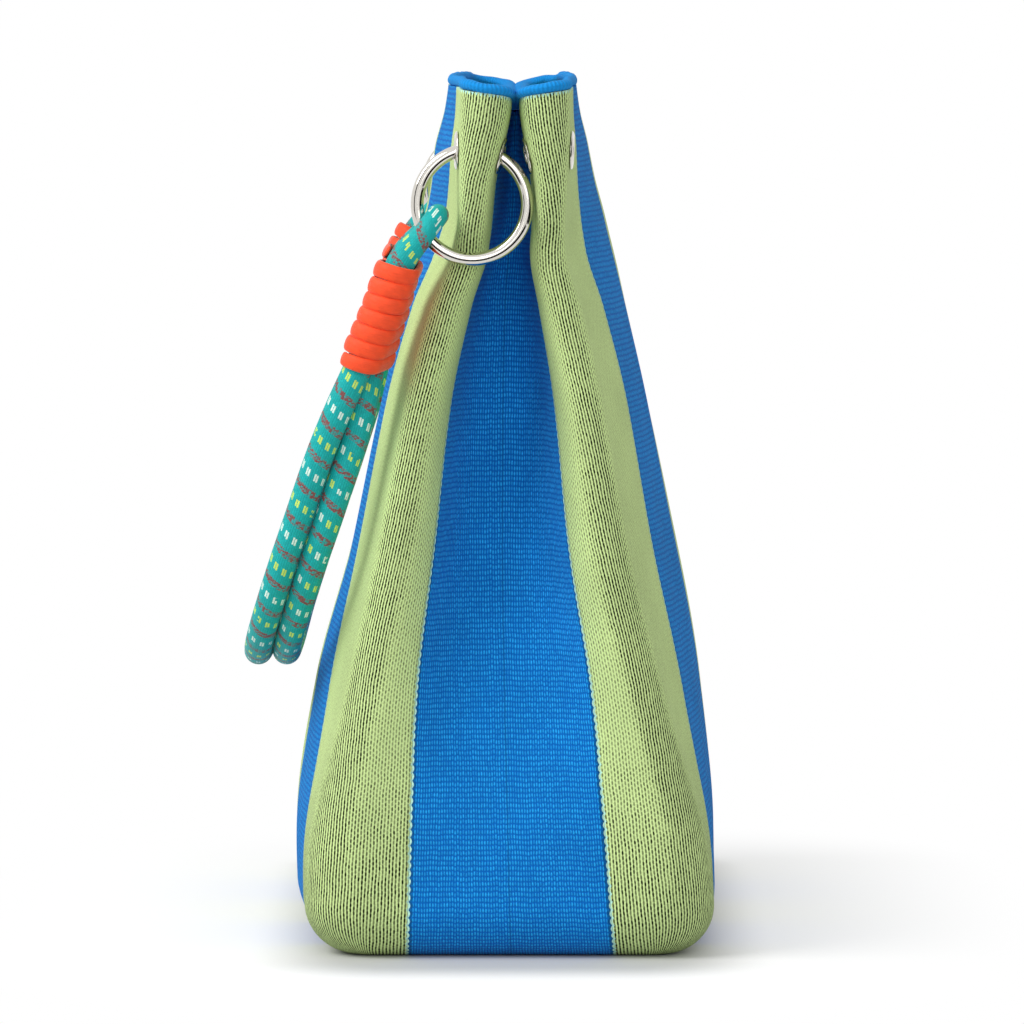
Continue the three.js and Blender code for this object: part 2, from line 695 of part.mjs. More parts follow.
// The doubled handle at a distance along its right half: middle, direction, and the way from the
// inner strand to the outer one
function handleFrame(run) {
  const share = Math.min(Math.max(run / halfLength, 0), 1);
  const centre = halfRoute.getPointAt(share);
  const direction = halfRoute.getTangentAt(share);
  const forward = new THREE.Vector3(0, -1, 0).addScaledVector(direction, direction.y).normalize();
  const outward = forward.clone().cross(direction);
  const roll = smooth(rollStations, 'roll', run) * deg;
  const pair = outward.clone().multiplyScalar(Math.cos(roll)).addScaledVector(forward, Math.sin(roll));
  return { centre, direction, pair };
}

const eyeHalfWidth = ringWire / 2 + eyeGap + ropeAtRing / 2;
function strandSpacing(run) {
  const share = Math.min(run / whippingStart, 1);
  return 2 * eyeHalfWidth + (ropePitch - 2 * eyeHalfWidth) * share;
}
function strandRadius(run) {
  const share = Math.min(run / whippingStart, 1);
  return (ropeAtRing + (ropeDiameter - ropeAtRing) * share) / 2;
}

// Centre of a strand on the right half: sign 1 is the outer strand, -1 the one nearer the bag
function strandPoint(run, sign) {
  const { centre, pair } = handleFrame(run);
  return centre.clone().addScaledVector(pair, (sign * strandSpacing(run)) / 2);
}

const buttRun = whippingStart + 0.5 * whippingTurns * whippingPitch;
function halfRuns() {
  const runs = [];
  for (let run = 0; run < halfLength - 6; run += run < 24 ? 6 : 17) runs.push(run);
  return runs;
}

function ropePath() {
  const stops = [];
  const push = (point, radius) => stops.push({ point, radius });
  const mirror = (point) => new THREE.Vector3(-point.x, point.y, point.z);
  const runs = halfRuns();
  const eyeSteps = 8;
  const eyeOut = new THREE.Vector3(0, Math.sin(eyeLean * deg), Math.cos(eyeLean * deg));
  const eye = [];
  for (let i = 1; i < eyeSteps; i += 1) {
    const angle = (Math.PI * i) / eyeSteps;
    eye.push(contact.clone()
      .addScaledVector(new THREE.Vector3(1, 0, 0), eyeHalfWidth * Math.cos(angle))
      .addScaledVector(eyeOut, eyeReach * Math.sin(angle)));
  }
  // down the inner strand on the right, from the butt
  push(strandPoint(buttRun + buttGap, -1), strandRadius(buttRun));
  for (const run of runs) if (run > buttRun + 5) push(strandPoint(run, -1), strandRadius(run));
  push(strandPoint(halfLength, -1), strandRadius(halfLength));
  // up the inner strand on the left, over the left ring and back down the outer one
  for (const run of [...runs].reverse()) push(mirror(strandPoint(run, -1)), strandRadius(run));
  for (const point of [...eye].reverse()) push(mirror(point), ropeAtRing / 2);
  for (const run of runs) push(mirror(strandPoint(run, 1)), strandRadius(run));
  push(strandPoint(halfLength, 1), strandRadius(halfLength));
  // up the outer strand on the right, over the right ring and back to the butt
  for (const run of [...runs].reverse()) push(strandPoint(run, 1), strandRadius(run));
  for (const point of eye) push(point, ropeAtRing / 2);
  for (const run of runs) if (run < buttRun - 5) push(strandPoint(run, -1), strandRadius(run));
  push(strandPoint(buttRun, -1), strandRadius(buttRun));
  return stops;
}
const rope = ropePath();
const ropePoints = rope.map((stop) => stop.point);
let ropeLength = 0;
for (let i = 1; i < ropePoints.length; i += 1) ropeLength += ropePoints[i].distanceTo(ropePoints[i - 1]);
const ropeStops = squareStops(ropePoints, (i) => rope[i].radius);
addPiece('handle_rope', tubeGeometry(ropeStops, ropeSides, false), tealRope);

// Whipping: one flat cord wound round the pair of strands
function whippingStops(mirrored) {
  const straight = ropePitch;
  const bendRadius = ropeDiameter / 2 + whippingClearance + whippingCordThickness / 2;
  const loop = 2 * straight + 2 * Math.PI * bendRadius;
  const count = stepsPerTurn * whippingTurns;
  const stops = [];
  const flip = new THREE.Vector3(mirrored ? -1 : 1, 1, 1);
  for (let i = 0; i <= count; i += 1) {
    const turn = i / stepsPerTurn;
    const run = whippingStart + whippingCordWidth / 2 + turn * whippingPitch;
    const { centre, direction, pair } = handleFrame(run);
    const side = direction.clone().cross(pair).normalize();
    let along = (turn % 1) * loop;
    let offset;
    let outward;
    if (along <= straight) {
      offset = pair.clone().multiplyScalar(straight / 2 - along).addScaledVector(side, bendRadius);
      outward = side.clone();
    } else if (along <= straight + Math.PI * bendRadius) {
      const angle = (along - straight) / bendRadius;
      outward = side.clone().multiplyScalar(Math.cos(angle)).addScaledVector(pair, -Math.sin(angle));
      offset = pair.clone().multiplyScalar(-straight / 2).addScaledVector(outward, bendRadius);
    } else if (along <= 2 * straight + Math.PI * bendRadius) {
      along -= straight + Math.PI * bendRadius;
      offset = pair.clone().multiplyScalar(along - straight / 2).addScaledVector(side, -bendRadius);
      outward = side.clone().negate();
    } else {
      const angle = (along - 2 * straight - Math.PI * bendRadius) / bendRadius;
      outward = side.clone().multiplyScalar(-Math.cos(angle)).addScaledVector(pair, Math.sin(angle));
      offset = pair.clone().multiplyScalar(straight / 2).addScaledVector(outward, bendRadius);
    }
    stops.push({
      centre: centre.clone().add(offset).multiply(flip),
      across: outward.clone().multiply(flip),
      up: direction.clone().multiply(flip),
      halfAcross: whippingCordThickness / 2,
      halfUp: whippingCordWidth / 2,
    });
  }
  return stops;
}

// Least gap of a winding to itself, measured between the section points of turns that lie side by side
function leastGap(stops, sides) {
  const rings = stops.map((stop) => {
    const ring = [];
    for (let k = 0; k < sides; k += 1) {
      const angle = (k / sides) * 2 * Math.PI;
      ring.push(stop.centre.clone().addScaledVector(stop.across, stop.halfAcross * Math.cos(angle))
        .addScaledVector(stop.up, stop.halfUp * Math.sin(angle)));
    }
    return ring;
  });
  let least = Infinity;
  for (let i = 0; i < rings.length; i += 1) {
    for (let j = i + stepsPerTurn - 4; j < Math.min(rings.length, i + stepsPerTurn + 5); j += 1) {
      for (const a of rings[i]) for (const b of rings[j]) least = Math.min(least, a.distanceTo(b));
    }
  }
  return least;
}

for (const [name, mirrored] of [['whipping_right', false], ['whipping_left', true]]) {
  const stops = whippingStops(mirrored);
  const geometry = tubeGeometry(stops, 6, false);
  if (!mirrored) geometry.index.array.reverse();
  addPiece(name, geometry, orangeCord);
  if (!mirrored) console.log(`least gap of the whipping to itself ${leastGap(stops, 6).toFixed(2)} mm`);
}
console.log(`rope length ${ropeLength.toFixed(0)} mm, ring plane at ${ringPlane.toFixed(2)}`);

export default bag;
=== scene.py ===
import math

import bpy
import numpy as np
from bpy.props import FloatProperty, FloatVectorProperty, IntProperty, PointerProperty
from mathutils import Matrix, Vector


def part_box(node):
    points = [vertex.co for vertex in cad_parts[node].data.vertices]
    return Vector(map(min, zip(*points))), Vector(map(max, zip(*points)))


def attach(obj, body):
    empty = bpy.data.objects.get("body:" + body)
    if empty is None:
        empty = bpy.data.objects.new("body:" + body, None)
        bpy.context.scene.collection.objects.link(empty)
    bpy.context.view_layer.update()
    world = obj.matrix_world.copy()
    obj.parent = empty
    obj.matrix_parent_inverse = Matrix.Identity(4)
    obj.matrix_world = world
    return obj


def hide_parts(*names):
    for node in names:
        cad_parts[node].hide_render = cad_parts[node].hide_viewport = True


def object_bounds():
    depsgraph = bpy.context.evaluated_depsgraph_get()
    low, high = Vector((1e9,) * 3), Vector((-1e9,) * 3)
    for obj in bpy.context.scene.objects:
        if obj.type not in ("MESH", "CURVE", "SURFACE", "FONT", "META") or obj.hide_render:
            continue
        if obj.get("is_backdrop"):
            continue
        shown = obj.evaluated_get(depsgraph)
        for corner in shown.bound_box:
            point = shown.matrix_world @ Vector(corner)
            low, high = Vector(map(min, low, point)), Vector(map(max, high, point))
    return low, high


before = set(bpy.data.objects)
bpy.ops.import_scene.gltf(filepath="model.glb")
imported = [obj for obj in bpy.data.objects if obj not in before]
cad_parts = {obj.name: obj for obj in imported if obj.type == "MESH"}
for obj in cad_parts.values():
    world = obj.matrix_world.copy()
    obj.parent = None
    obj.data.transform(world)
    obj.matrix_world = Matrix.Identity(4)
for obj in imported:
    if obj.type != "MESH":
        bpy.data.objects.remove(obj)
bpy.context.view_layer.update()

bl_info = {
    "name": "Knitted tote bag",
    "version": (1, 0, 0),
    "blender": (4, 5, 0),
    "location": "3D View > Sidebar > Tote bag",
    "description": "Striped knitted tote bag with a rope handle on two rings",
    "category": "Add Mesh",
}

# Frame: X along the bag, the handle on the -Y face, Z up, origin in the middle of the base.
RIM_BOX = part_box("rim_binding")


def linear(hex_colour):
    """An sRGB hex colour as linear RGBA."""
    channels = [int(hex_colour[i:i + 2], 16) / 255 for i in (0, 2, 4)]
    return [c / 12.92 if c <= 0.04045 else ((c + 0.055) / 1.055) ** 2.4 for c in channels] + [1.0]


def size(name, description, metres):
    """A length that a user can change."""
    return FloatProperty(name=name, description=description, default=metres, min=-1.0, precision=5,
                         unit="LENGTH")


def share(name, description, value):
    """A factor that a user can change."""
    return FloatProperty(name=name, description=description, default=value, min=0.0, max=2.0,
                         subtype="FACTOR")


def colour(name, description, hex_colour):
    """A colour that a user can change."""
    return FloatVectorProperty(name=name, description=description, default=linear(hex_colour),
                               size=4, min=0.0, max=1.0, subtype="COLOR")


class ToteKnit(bpy.types.PropertyGroup):
    """Form of the knitted body."""
    height: size("Height", "Ground to the top of the rolled rim", RIM_BOX[1].z)
    base_length: size("Base length", "Along the bag at the ground", 0.310)
    base_depth: size("Base depth", "Across the bag at the ground", 0.160)
    face_bulge: size("Face bulge", "Of the middle of each face beyond its ends, at the base", 0.003)
    mouth_length: size("Mouth length", "Between the two end crests at the rim", 0.337)
    mouth_depth: size("Mouth depth", "Across the middle of the mouth", 0.050)
    fold_depth: size("Fold depth", "How far the end gusset is tucked in at the rim", 0.058)
    wall: size("Wall", "Thickness of the doubled knit", 0.003)
    stripe_width: size("Stripe width", "Of knit laid flat, the same for every stripe", 0.077)
    relaxed: share("Relaxed knit", "Width of a gusset stripe against its flat width", 0.95)
    spread: share("Spread knit", "How much wider the knit is drawn at the ground", 0.09)
    spread_height: size("Spread height", "Where the knit is no longer drawn wide", 0.070)
    bottom_round: size("Bottom round", "Radius that the knit turns under with", 0.020)
    ring_pass: size("Ring pass", "Between the low side of the ring and the crest behind it", 0.0011)
    blue_wale: size("Blue wale", "Width of one column of stitches in the blue knit", 0.00106)
    green_wale: size("Green wale", "Width of one column of stitches in the green knit", 0.0013)
    course_pitch: size("Course pitch", "Height of two courses of stitches", 0.0020)
    mesh_step: size("Mesh step", "Size of one face of the knitted walls", 0.0022)


class ToteTrim(bpy.types.PropertyGroup):
    """Rolled rim, eyelets and rings."""
    rim_width: size("Rim width", "Across the rolled binding", 0.0042)
    rim_height: size("Rim height", "Height of the rolled binding", 0.0042)
    valley_dip: size("Valley dip", "How much lower the rim lies in the tucked gusset", 0.009)
    dip_reach: size("Dip reach", "Of knit, from the tuck to where the dip ends", 0.100)
    seam_gap: size("Seam gap", "Between pieces that are sewn or seated on each other", 0.0003)
    ring_radius: size("Ring radius", "To the middle of the wire", 0.021)
    ring_wire: size("Ring wire", "Diameter of the wire", 0.005)
    ring_y: size("Ring place", "Middle of the ring across the bag", -0.0148)
    ring_drop: size("Ring drop", "Middle of the ring below the rim", 0.0492)
    ring_setback: size("Ring setback", "From the end of the mouth back to the ring", 0.0156)
    bore: size("Eyelet bore", "Hole through the eyelet", 0.0088)
    barrel: size("Eyelet barrel", "Outside of the tube through the knit", 0.0102)
    flange: size("Eyelet flange", "Outside of the flange", 0.0148)
    crown: size("Eyelet crown", "Height of the flange above the knit", 0.0009)
    lip: size("Eyelet lip", "Rolled over inside", 0.0122)
    lip_thickness: size("Lip thickness", "Of the rolled lip", 0.0007)
    washer: size("Washer", "Outside of the washer behind the knit", 0.0124)
    washer_thickness: size("Washer thickness", "Of the washer", 0.0008)
    washer_seat: size("Washer seat", "Washer to the inside of the knit", 0.0008)


class ToteHandle(bpy.types.PropertyGroup):
    """Doubled rope handle and its whippings."""
    rope: size("Rope", "Diameter of the rope", 0.011)
    rope_at_ring: size("Rope at ring", "Squeezed where it bends over the wire", 0.0085)
    rope_pitch: size("Strand pitch", "Between the middles of the two strands", 0.0112)
    eye_reach: size("Eye reach", "From the wire to the middle of the rope over it", 0.0086)
    eye_gap: size("Eye gap", "Rope to wire", 0.0003)
    butt_gap: size("Butt gap", "Between the two ends of the rope", 0.0005)
    whipping_start: size("Whipping start", "Along the handle from the wire", 0.0102)
    whipping_pitch: size("Whipping pitch", "From one turn to the next", 0.0062)
    cord_width: size("Cord width", "Of the whipping cord, along the rope", 0.0056)
    cord_thickness: size("Cord thickness", "Of the whipping cord", 0.0028)
    cord_clearance: size("Cord clearance", "Whipping to rope", 0.00035)
    cord_swell: share("Cord swell", "Width of a turn pressed against the next, of the pitch", 1.03)
    turns: IntProperty(name="Turns", description="Of the whipping cord", default=7, min=1, max=20)


class ToteColours(bpy.types.PropertyGroup):
    """Colours of the yarns, cords and metal."""
    # blue is a painted highlight on the stitch crowns, and the blue ground painted shade between them
    blue: colour("Blue yarn", "Top of the blue stitches", "27AFF6")
    blue_gap_shade: colour("Blue ground", "Between the blue stitches", "0361B9")
    green: colour("Green yarn", "Top of the green stitches", "C9E098")
    # the green ground is painted shade, the dark of the holes between the green stitches
    green_hole_shade: colour("Green ground", "Holes between the green stitches", "101C04")
    # border is a painted highlight, a pale line along the green side of each stripe border, and also
    # the real pale yarn of the cast-on teeth
    border: colour("Border highlight and tooth yarn", "Pale line between two stripes", "BDF0DE")
    # border_shade is painted shade along the blue side of each stripe border and in the gusset's
    # crease
    border_shade: colour("Border shade", "Blue side of the line between two stripes", "0A4C7E")
    rim: colour("Rim yarn", "Rolled binding of the mouth", "1692E2")
    rope: colour("Rope yarn", "Ground of the rope", "0CB0AE")
    rope_white: colour("Pale fleck", "Light tracer in the rope", "DDF7EA")
    rope_lime: colour("Lime fleck", "Yellow-green tracer in the rope", "CDEE6E")
    rope_brown: colour("Brown fleck", "Dark tracer in the rope", "8E4A48")
    whipping: colour("Whipping cord", "Cord wound round the rope", "FA4E1E")
    nickel: colour("Nickel", "Rings and eyelets", "D8D4CC")
    board: colour("Base board", "Stiffener in the base", "5C5E60")
    paper: colour("Backdrop", "Floor and background", "CBCBCB")
    flag: colour("Flags", "Dark panels that the metal mirrors", "101010")


# Stations up the bag. waist is how far the end crest has gone from the base to the waist under the
# rings, flare how far from there to the mouth. fold is the share of the tuck, narrow how far the
# middle of the face has gone from base depth to mouth depth, nose_y and nose_r the middle and radius
# of the rolled crest, wall and face the angles at which gusset and face leave it, and tuck_y how wide
# the tuck opens. lean is how far the end has slumped towards the back, and sway how far the middle of
# the faces has.
STATION_KEYS = ("waist", "flare", "fold", "narrow", "nose_y", "nose_r", "wall", "face", "tuck_y",
                "lean", "sway")
LOW_STATIONS = {  # by share of the height
    0.0: (0, 0, 0.01, 0, 0.054, 0.026, 1, 90, 0.014, 0, -0.0015),
    0.12: (0.05, 0, 0.05, -0.02, 0.0585, 0.0195, 5, 88, 0.018, -0.001, -0.0024),
    0.29: (0.2, 0, 0.31, 0.095, 0.0502, 0.0135, 20, 82, 0.022, -0.0024, -0.0012),
    0.455: (0.42, 0, 0.58, 0.31, 0.0398, 0.0108, 35, 79, 0.023, -0.0033, 0.0012),
    0.625: (0.7, 0, 0.77, 0.52, 0.0314, 0.008, 47, 77, 0.023, -0.0031, 0.0015),
    0.735: (0.9, 0, 0.86, 0.665, 0.0227, 0.0072, 57, 80, 0.019, -0.0023, 0.0012),
}
HIGH_STATIONS = {  # by distance below the rim, the first 1 mm above the bottom of the ring
    "ring": (1, 0, 0.89, 0.76, 0.0155, 0.0062, 70, 85, 0.013, -0.0006, 0.0012),
    0.056: (1, 0.3, 0.92, 0.81, 0.015, 0.0056, 77, 87, 0.007, 0.0004, 0.0015),
    0.042: (1, 0.65, 0.96, 0.865, 0.0147, 0.006, 79, 87, 0.005, 0.0009, 0.0009),
    0.029: (1, 0.88, 0.98, 0.90, 0.0134, 0.0078, 79.5, 87, 0.0045, 0.0013, 0.0003),
    0.014: (1, 0.98, 0.99, 0.965, 0.0117, 0.0094, 81, 88, 0.004, 0.0017, 0.0005),
    0.0: (1, 1, 1, 1, 0.011, 0.0101, 84, 88, 0.004, 0.0019, 0.0006),
}

# Control points of the arcs between crest, tuck and face: how far out of the crest, as a share of the
# wall or face, and how far off the middle of the face, as a share of the crest's place
CREST_PULL = 0.3
FACE_PULL = 0.62

# Shares of the knit from the tuck to the middle of the face, up to which the end's lean holds and
# where it has given way to the sway
LEAN_HOLDS, LEAN_GONE = 0.25, 0.75

# How far the stitches are drawn open, 0 closed and 1 wide open: high up and on the faces, low on the
# bands, and by the base. A bend opens them over this much knit to each side.
OPEN_LEAST, OPEN_BAND, OPEN_BASE = 0.30, 0.54, 0.95
OPEN_ON_BEND = 1.1
BEND_REACH = 0.009

# Middle of the doubled handle, from the right ring to the middle of the bag: how far out, as a share
# of the ring's place, how far it hangs off the middle of the face, how far below the wire, and how
# far the pair of strands has rolled round, in degrees. The first point is on the wire itself.
HANDLE_ROUTE = [
    (1, -0.0056, 0, 0),
    (0.994, 0.0015, 0.0099, 3),
    (0.978, 0.004, 0.0301, 10),
    (0.957, 0.0068, 0.0503, 24),
    (0.933, 0.0088, 0.070, 56),
    (0.905, 0.0116, 0.090, 80),
    (0.866, 0.0142, 0.110, 90),
    (0.81, 0.0168, 0.1295, 90),
    (0.72, 0.0184, 0.1475, 90),
    (0.6, 0.0193, 0.1605, 90),
    (0.44, 0.0195, 0.1676, 90),
    (0.233, 0.0195, 0.1705, 90),
    (0, 0.0195, 0.1712, 90),
]
CONTACT_ANGLE = math.radians(60)  # from the lowest point of the ring, towards the front
EYE_LEAN = math.radians(38)  # from straight down

QUADRANTS = ("front_right", "front_left", "back_left", "back_right")

# The stripes in order round the bag from the right-hand tuck, front first
STRIPES = (
    "gusset_right_blue", "band_front_right_green", "front_right_blue", "front_middle_green",
    "front_left_blue", "band_front_left_green", "gusset_left_blue", "band_back_left_green",
    "back_left_blue", "back_middle_green", "back_right_blue", "band_back_right_green",
)


def smooth(places, values, at):
    """Smooth curve through stations without overshoot."""
    places, values, at = np.asarray(places), np.asarray(values, float), np.asarray(at, float)
    slopes = np.diff(values) / np.diff(places)
    before, after = slopes[:-1], slopes[1:]
    total = np.where(before + after == 0, 1, before + after)
    middle = np.where(before * after <= 0, 0, 2 * before * after / total)
    tangents = np.concatenate([slopes[:1], middle, slopes[-1:]])
    at = np.clip(at, places[0], places[-1])
    i = np.clip(np.searchsorted(places, at, side="left") - 1, 0, len(places) - 2)
    span = places[i + 1] - places[i]
    t = (at - places[i]) / span
    return (values[i] * (1 + 2 * t) * (1 - t) ** 2 + values[i + 1] * t * t * (3 - 2 * t)
            + span * (tangents[i] * t * (1 - t) ** 2 - tangents[i + 1] * t * t * (1 - t)))


def ramp(value, start, end):
    """0 up to start, 1 from end on and straight between them. The end may lie below the start."""
    return np.clip((value - start) / (end - start), 0, 1)


def bezier(a, b, c, d, t):
    """Points of a cubic arc from a to d."""
    s = 1 - t
    return a * s ** 3 + 3 * b * s * s * t + 3 * c * s * t * t + d * t ** 3


class KnitForm:
    """The bag's outline at every height, and the knitted wall that follows it."""

    def __init__(self, knit, trim):
        self.knit = knit
        self.trim = trim
        self.quarter = 3 * knit.stripe_width
        self.girth = 4 * self.quarter
        self.ring_plane = knit.mouth_length / 2 - trim.ring_setback
        self.ring_z = knit.height - trim.ring_drop
        ring_bottom = trim.ring_drop + trim.ring_radius - trim.ring_wire / 2
        rows = [(share_up * knit.height, row) for share_up, row in LOW_STATIONS.items()]
        for below, row in HIGH_STATIONS.items():
            drop = ring_bottom - 0.001 if below == "ring" else below
            rows.append((knit.height - drop, row))
        self.station_z = [z for z, _ in rows]
        self.stations = {key: [row[i] for _, row in rows] for i, key in enumerate(STATION_KEYS)}
        self.round_run = knit.bottom_round * math.pi / 2
        self.edge_height = knit.height - trim.rim_height - trim.seam_gap
        self.step_z = 0.001
        self.step_s = 0.0005
        self.fill_table()

    def at(self, key, z):
        """Value of a station's column at a height."""
        return smooth(self.station_z, self.stations[key], z)

    def half_depth(self, z):
        """From the middle of the bag to the middle of a face."""
        narrow = self.at("narrow", z)
        knit = self.knit
        return (knit.base_depth + (knit.mouth_depth - knit.base_depth) * narrow) / 2 \
            + knit.face_bulge * (1 - narrow)

    def fill_table(self):
        """A quarter of the outline for each height, by distance along the knit from the tuck."""
        knit = self.knit
        z = np.arange(0, knit.height + 1.5 * self.step_z, self.step_z)
        waist_x = self.ring_plane - self.trim.ring_wire / 2 - knit.ring_pass
        crest = knit.base_length / 2 + (waist_x - knit.base_length / 2) * self.at("waist", z)
        crest = crest + (knit.mouth_length / 2 - crest) * self.at("flare", z)
        nose_r, wall, face = self.at("nose_r", z), np.radians(self.at("wall", z)), \
            np.radians(self.at("face", z))
        nose = np.stack([crest - nose_r, self.at("nose_y", z)], 1)
        tuck = np.stack([crest - knit.fold_depth * self.at("fold", z), 0 * z], 1)
        nose_start = nose + nose_r[:, None] * np.stack([np.cos(wall), -np.sin(wall)], 1)
        nose_end = nose + nose_r[:, None] * np.stack([np.cos(face), np.sin(face)], 1)
        wall_run = np.linalg.norm(tuck - nose_start, axis=1)[:, None]
        tuck_out = np.stack([tuck[:, 0], self.at("tuck_y", z)], 1)
        wall_in = nose_start - CREST_PULL * wall_run * np.stack([np.sin(wall), np.cos(wall)], 1)
        face_out = nose_end \
            + CREST_PULL * nose_end[:, :1] * np.stack([-np.sin(face), np.cos(face)], 1)
        half_depth = self.half_depth(z)
        middle = np.stack([0 * z, half_depth], 1)
        face_in = np.stack([FACE_PULL * nose_end[:, 0], half_depth], 1)
        arc_steps, nose_steps = 40, 16
        parts = [bezier(tuck, tuck_out, wall_in, nose_start, t)
                 for t in np.arange(arc_steps) / arc_steps]
        for turn in np.arange(nose_steps) / nose_steps:
            angle = -wall + (wall + face) * turn
            parts.append(nose + nose_r[:, None] * np.stack([np.cos(angle), np.sin(angle)], 1))
        parts += [bezier(nose_end, face_out, face_in, middle, t)
                  for t in np.arange(arc_steps + 1) / arc_steps]
        points = np.stack(parts, 1)
        lengths = np.cumsum(np.linalg.norm(np.diff(points, axis=1), axis=2), axis=1)
        lengths = np.concatenate([np.zeros((len(z), 1)), lengths], 1)
        # half the gusset and the band beside it keep their width, and the face takes up the rest
        gathered = 1.5 * knit.stripe_width
        s = np.arange(0, self.quarter + 0.5 * self.step_s, self.step_s)
        self.x = np.zeros((len(z), len(s)))
        self.y = np.zeros((len(z), len(s)))
        self.open = np.zeros((len(z), len(s)))
        drawn = knit.relaxed + knit.spread * np.maximum(0, 1 - z / knit.spread_height)
        window = np.bartlett(1 + 2 * round(BEND_REACH / self.step_s))
        for row in range(len(z)):
            face_stretch = (lengths[row, -1] - drawn[row] * gathered) / (self.quarter - gathered)
            wanted = np.where(s <= gathered, drawn[row] * s,
                              drawn[row] * gathered + face_stretch * (s - gathered))
            self.x[row] = np.interp(wanted, lengths[row], points[row, :, 0])
            self.y[row] = np.interp(wanted, lengths[row], points[row, :, 1])
            heading = np.unwrap(np.arctan2(np.gradient(self.y[row]), np.gradient(self.x[row])))
            bend = np.gradient(heading, self.step_s)
            eased = np.convolve(bend, window, "same")
            self.open[row] = np.clip(eased / eased.max(), 0, 1) ** 3

    def sample(self, table, from_tuck, z):
        """Value of a table between its rows and columns."""
        i = np.clip(z / self.step_z, 0, table.shape[0] - 1.001)
        j = np.clip(from_tuck / self.step_s, 0, table.shape[1] - 1.001)
        low_i, low_j = i.astype(int), j.astype(int)
        fi, fj = i - low_i, j - low_j
        low = table[low_i, low_j] * (1 - fj) + table[low_i, low_j + 1] * fj
        high = table[low_i + 1, low_j] * (1 - fj) + table[low_i + 1, low_j + 1] * fj
        return low * (1 - fi) + high * fi

    def from_tuck(self, s):
        """Knit from the nearer tuck, at most a quarter of the way round."""
        half = np.mod(s, 2 * self.quarter)
        return np.where(half <= self.quarter, half, 2 * self.quarter - half)

    def outline(self, s, z):
        """Point of the outline at s of knit round the bag from the right-hand tuck, front first."""
        s, z = np.broadcast_arrays(np.asarray(s, float), np.asarray(z, float))
        around = np.mod(s, self.girth)
        from_tuck = self.from_tuck(s)
        x = self.sample(self.x, from_tuck, z)
        y = self.sample(self.y, from_tuck, z)
        right = (around <= self.quarter) | (around >= 3 * self.quarter)
        sway = self.at("sway", z)
        endward = ramp(from_tuck / self.quarter, LEAN_GONE, LEAN_HOLDS)
        endward = np.sin(math.pi / 2 * endward)
        slump = sway + (self.at("lean", z) - sway) * endward
        front = around <= 2 * self.quarter
        return np.stack([np.where(right, x, -x), np.where(front, -y, y) + slump], -1)

    def openness(self, s, z):
        """How far the stitches are drawn open: most over a crest and by the base, least on a face."""
        from_tuck = self.from_tuck(s)
        band_middle, band_closed = self.knit.stripe_width, 1.35 * self.knit.stripe_width
        bands_open, bands_closed = 0.15, 0.25
        base_open, base_passed = 0.025, 0.085
        on_band = 1 - ramp(from_tuck, band_middle, band_closed)
        low = 1 - ramp(z, bands_open, bands_closed)
        flat = OPEN_LEAST + (OPEN_BAND - OPEN_LEAST) * on_band * low
        flat = flat + (OPEN_BASE - flat) * ramp(z, base_passed, base_open)
        bent = OPEN_ON_BEND * self.sample(self.open, from_tuck, z)
        return np.maximum(flat, np.minimum(1, bent))

    def outline_normal(self, s, z):
        """Level direction out of the bag."""
        step = 0.0006
        along = self.outline(s + step, z) - self.outline(s - step, z)
        along /= np.linalg.norm(along, axis=-1, keepdims=True)
        return np.stack([-along[..., 1], along[..., 0]], -1)

    def turn_under(self, v):
        """Height of the knit, and how far it has turned towards the ground, v up the wall."""
        turn = np.where(v < self.round_run, math.pi / 2 * (1 - v / self.round_run), 0)
        bottom = self.knit.bottom_round
        return np.where(v < self.round_run, bottom * (1 - np.sin(turn)),
                        bottom + v - self.round_run), turn

    def wall_point(self, s, v):
        """Outer surface of the knit: v runs up the wall from the edge turned under the bag."""
        s, v = np.broadcast_arrays(np.asarray(s, float), np.asarray(v, float))
        z, turn = self.turn_under(v)
        inset = self.knit.bottom_round * (1 - np.cos(turn))
        flat = self.outline(s, z) - self.outline_normal(s, z) * inset[..., None]
        return np.concatenate([flat, z[..., None]], -1)

    def wall_normal(self, s, v):
        """Direction out of the knit."""
        step = 0.0008
        below = np.maximum(v - step, 0)
        up = self.wall_point(s, v + step) - self.wall_point(s, below)
        along = self.wall_point(s + step, v) - self.wall_point(s - step, v)
        normal = np.cross(up, along)
        normal /= np.linalg.norm(normal, axis=-1, keepdims=True)
        # where the knit turns under, its corners are too tight for differences
        z, turn = self.turn_under(v)
        flat = self.outline_normal(s, z) * np.cos(turn)[..., None]
        turned = np.concatenate([flat, -np.sin(turn)[..., None]], -1)
        part = ramp(v, self.round_run * 2 / 3, self.round_run)[..., None]
        normal = turned * (1 - part) + normal * part
        return normal / np.linalg.norm(normal, axis=-1, keepdims=True)

    def top_edge(self, s):
        """Height of the knit's top edge under the binding, lower in the tuck."""
        reach = np.minimum(self.from_tuck(s) / self.trim.dip_reach, 1)
        return self.edge_height - self.trim.valley_dip * 0.5 * (1 + np.cos(math.pi * reach))

    def top_run(self, s):
        """Knit from the edge turned under the bag up to the top edge."""
        return self.round_run + self.top_edge(s) - self.knit.bottom_round

    def around_from(self, quadrant, u):
        """Way round the bag of a place u of knit from the tuck of a quadrant."""
        starts = {"front_right": u, "front_left": 2 * self.quarter - u,
                  "back_left": 2 * self.quarter + u, "back_right": self.girth - u}
        return starts[quadrant]

    def knit_at_ring(self, quadrant, on_gusset, z):
        """Where a wall of a crest passes the plane of the ring, as knit from the right-hand tuck."""
        slack = 1.08  # knit in the slanting wall against the depth of the fold
        crest = self.knit.fold_depth * slack
        setback = self.trim.ring_setback
        low, high = (crest - 2 * setback, crest) if on_gusset else (crest, crest + 3 * setback)
        step = 0.0001
        u = np.arange(low, high, step)
        x = np.abs(self.outline(self.around_from(quadrant, u), z)[:, 0])
        return self.around_from(quadrant, u[np.argmin(np.abs(x - self.ring_plane))])

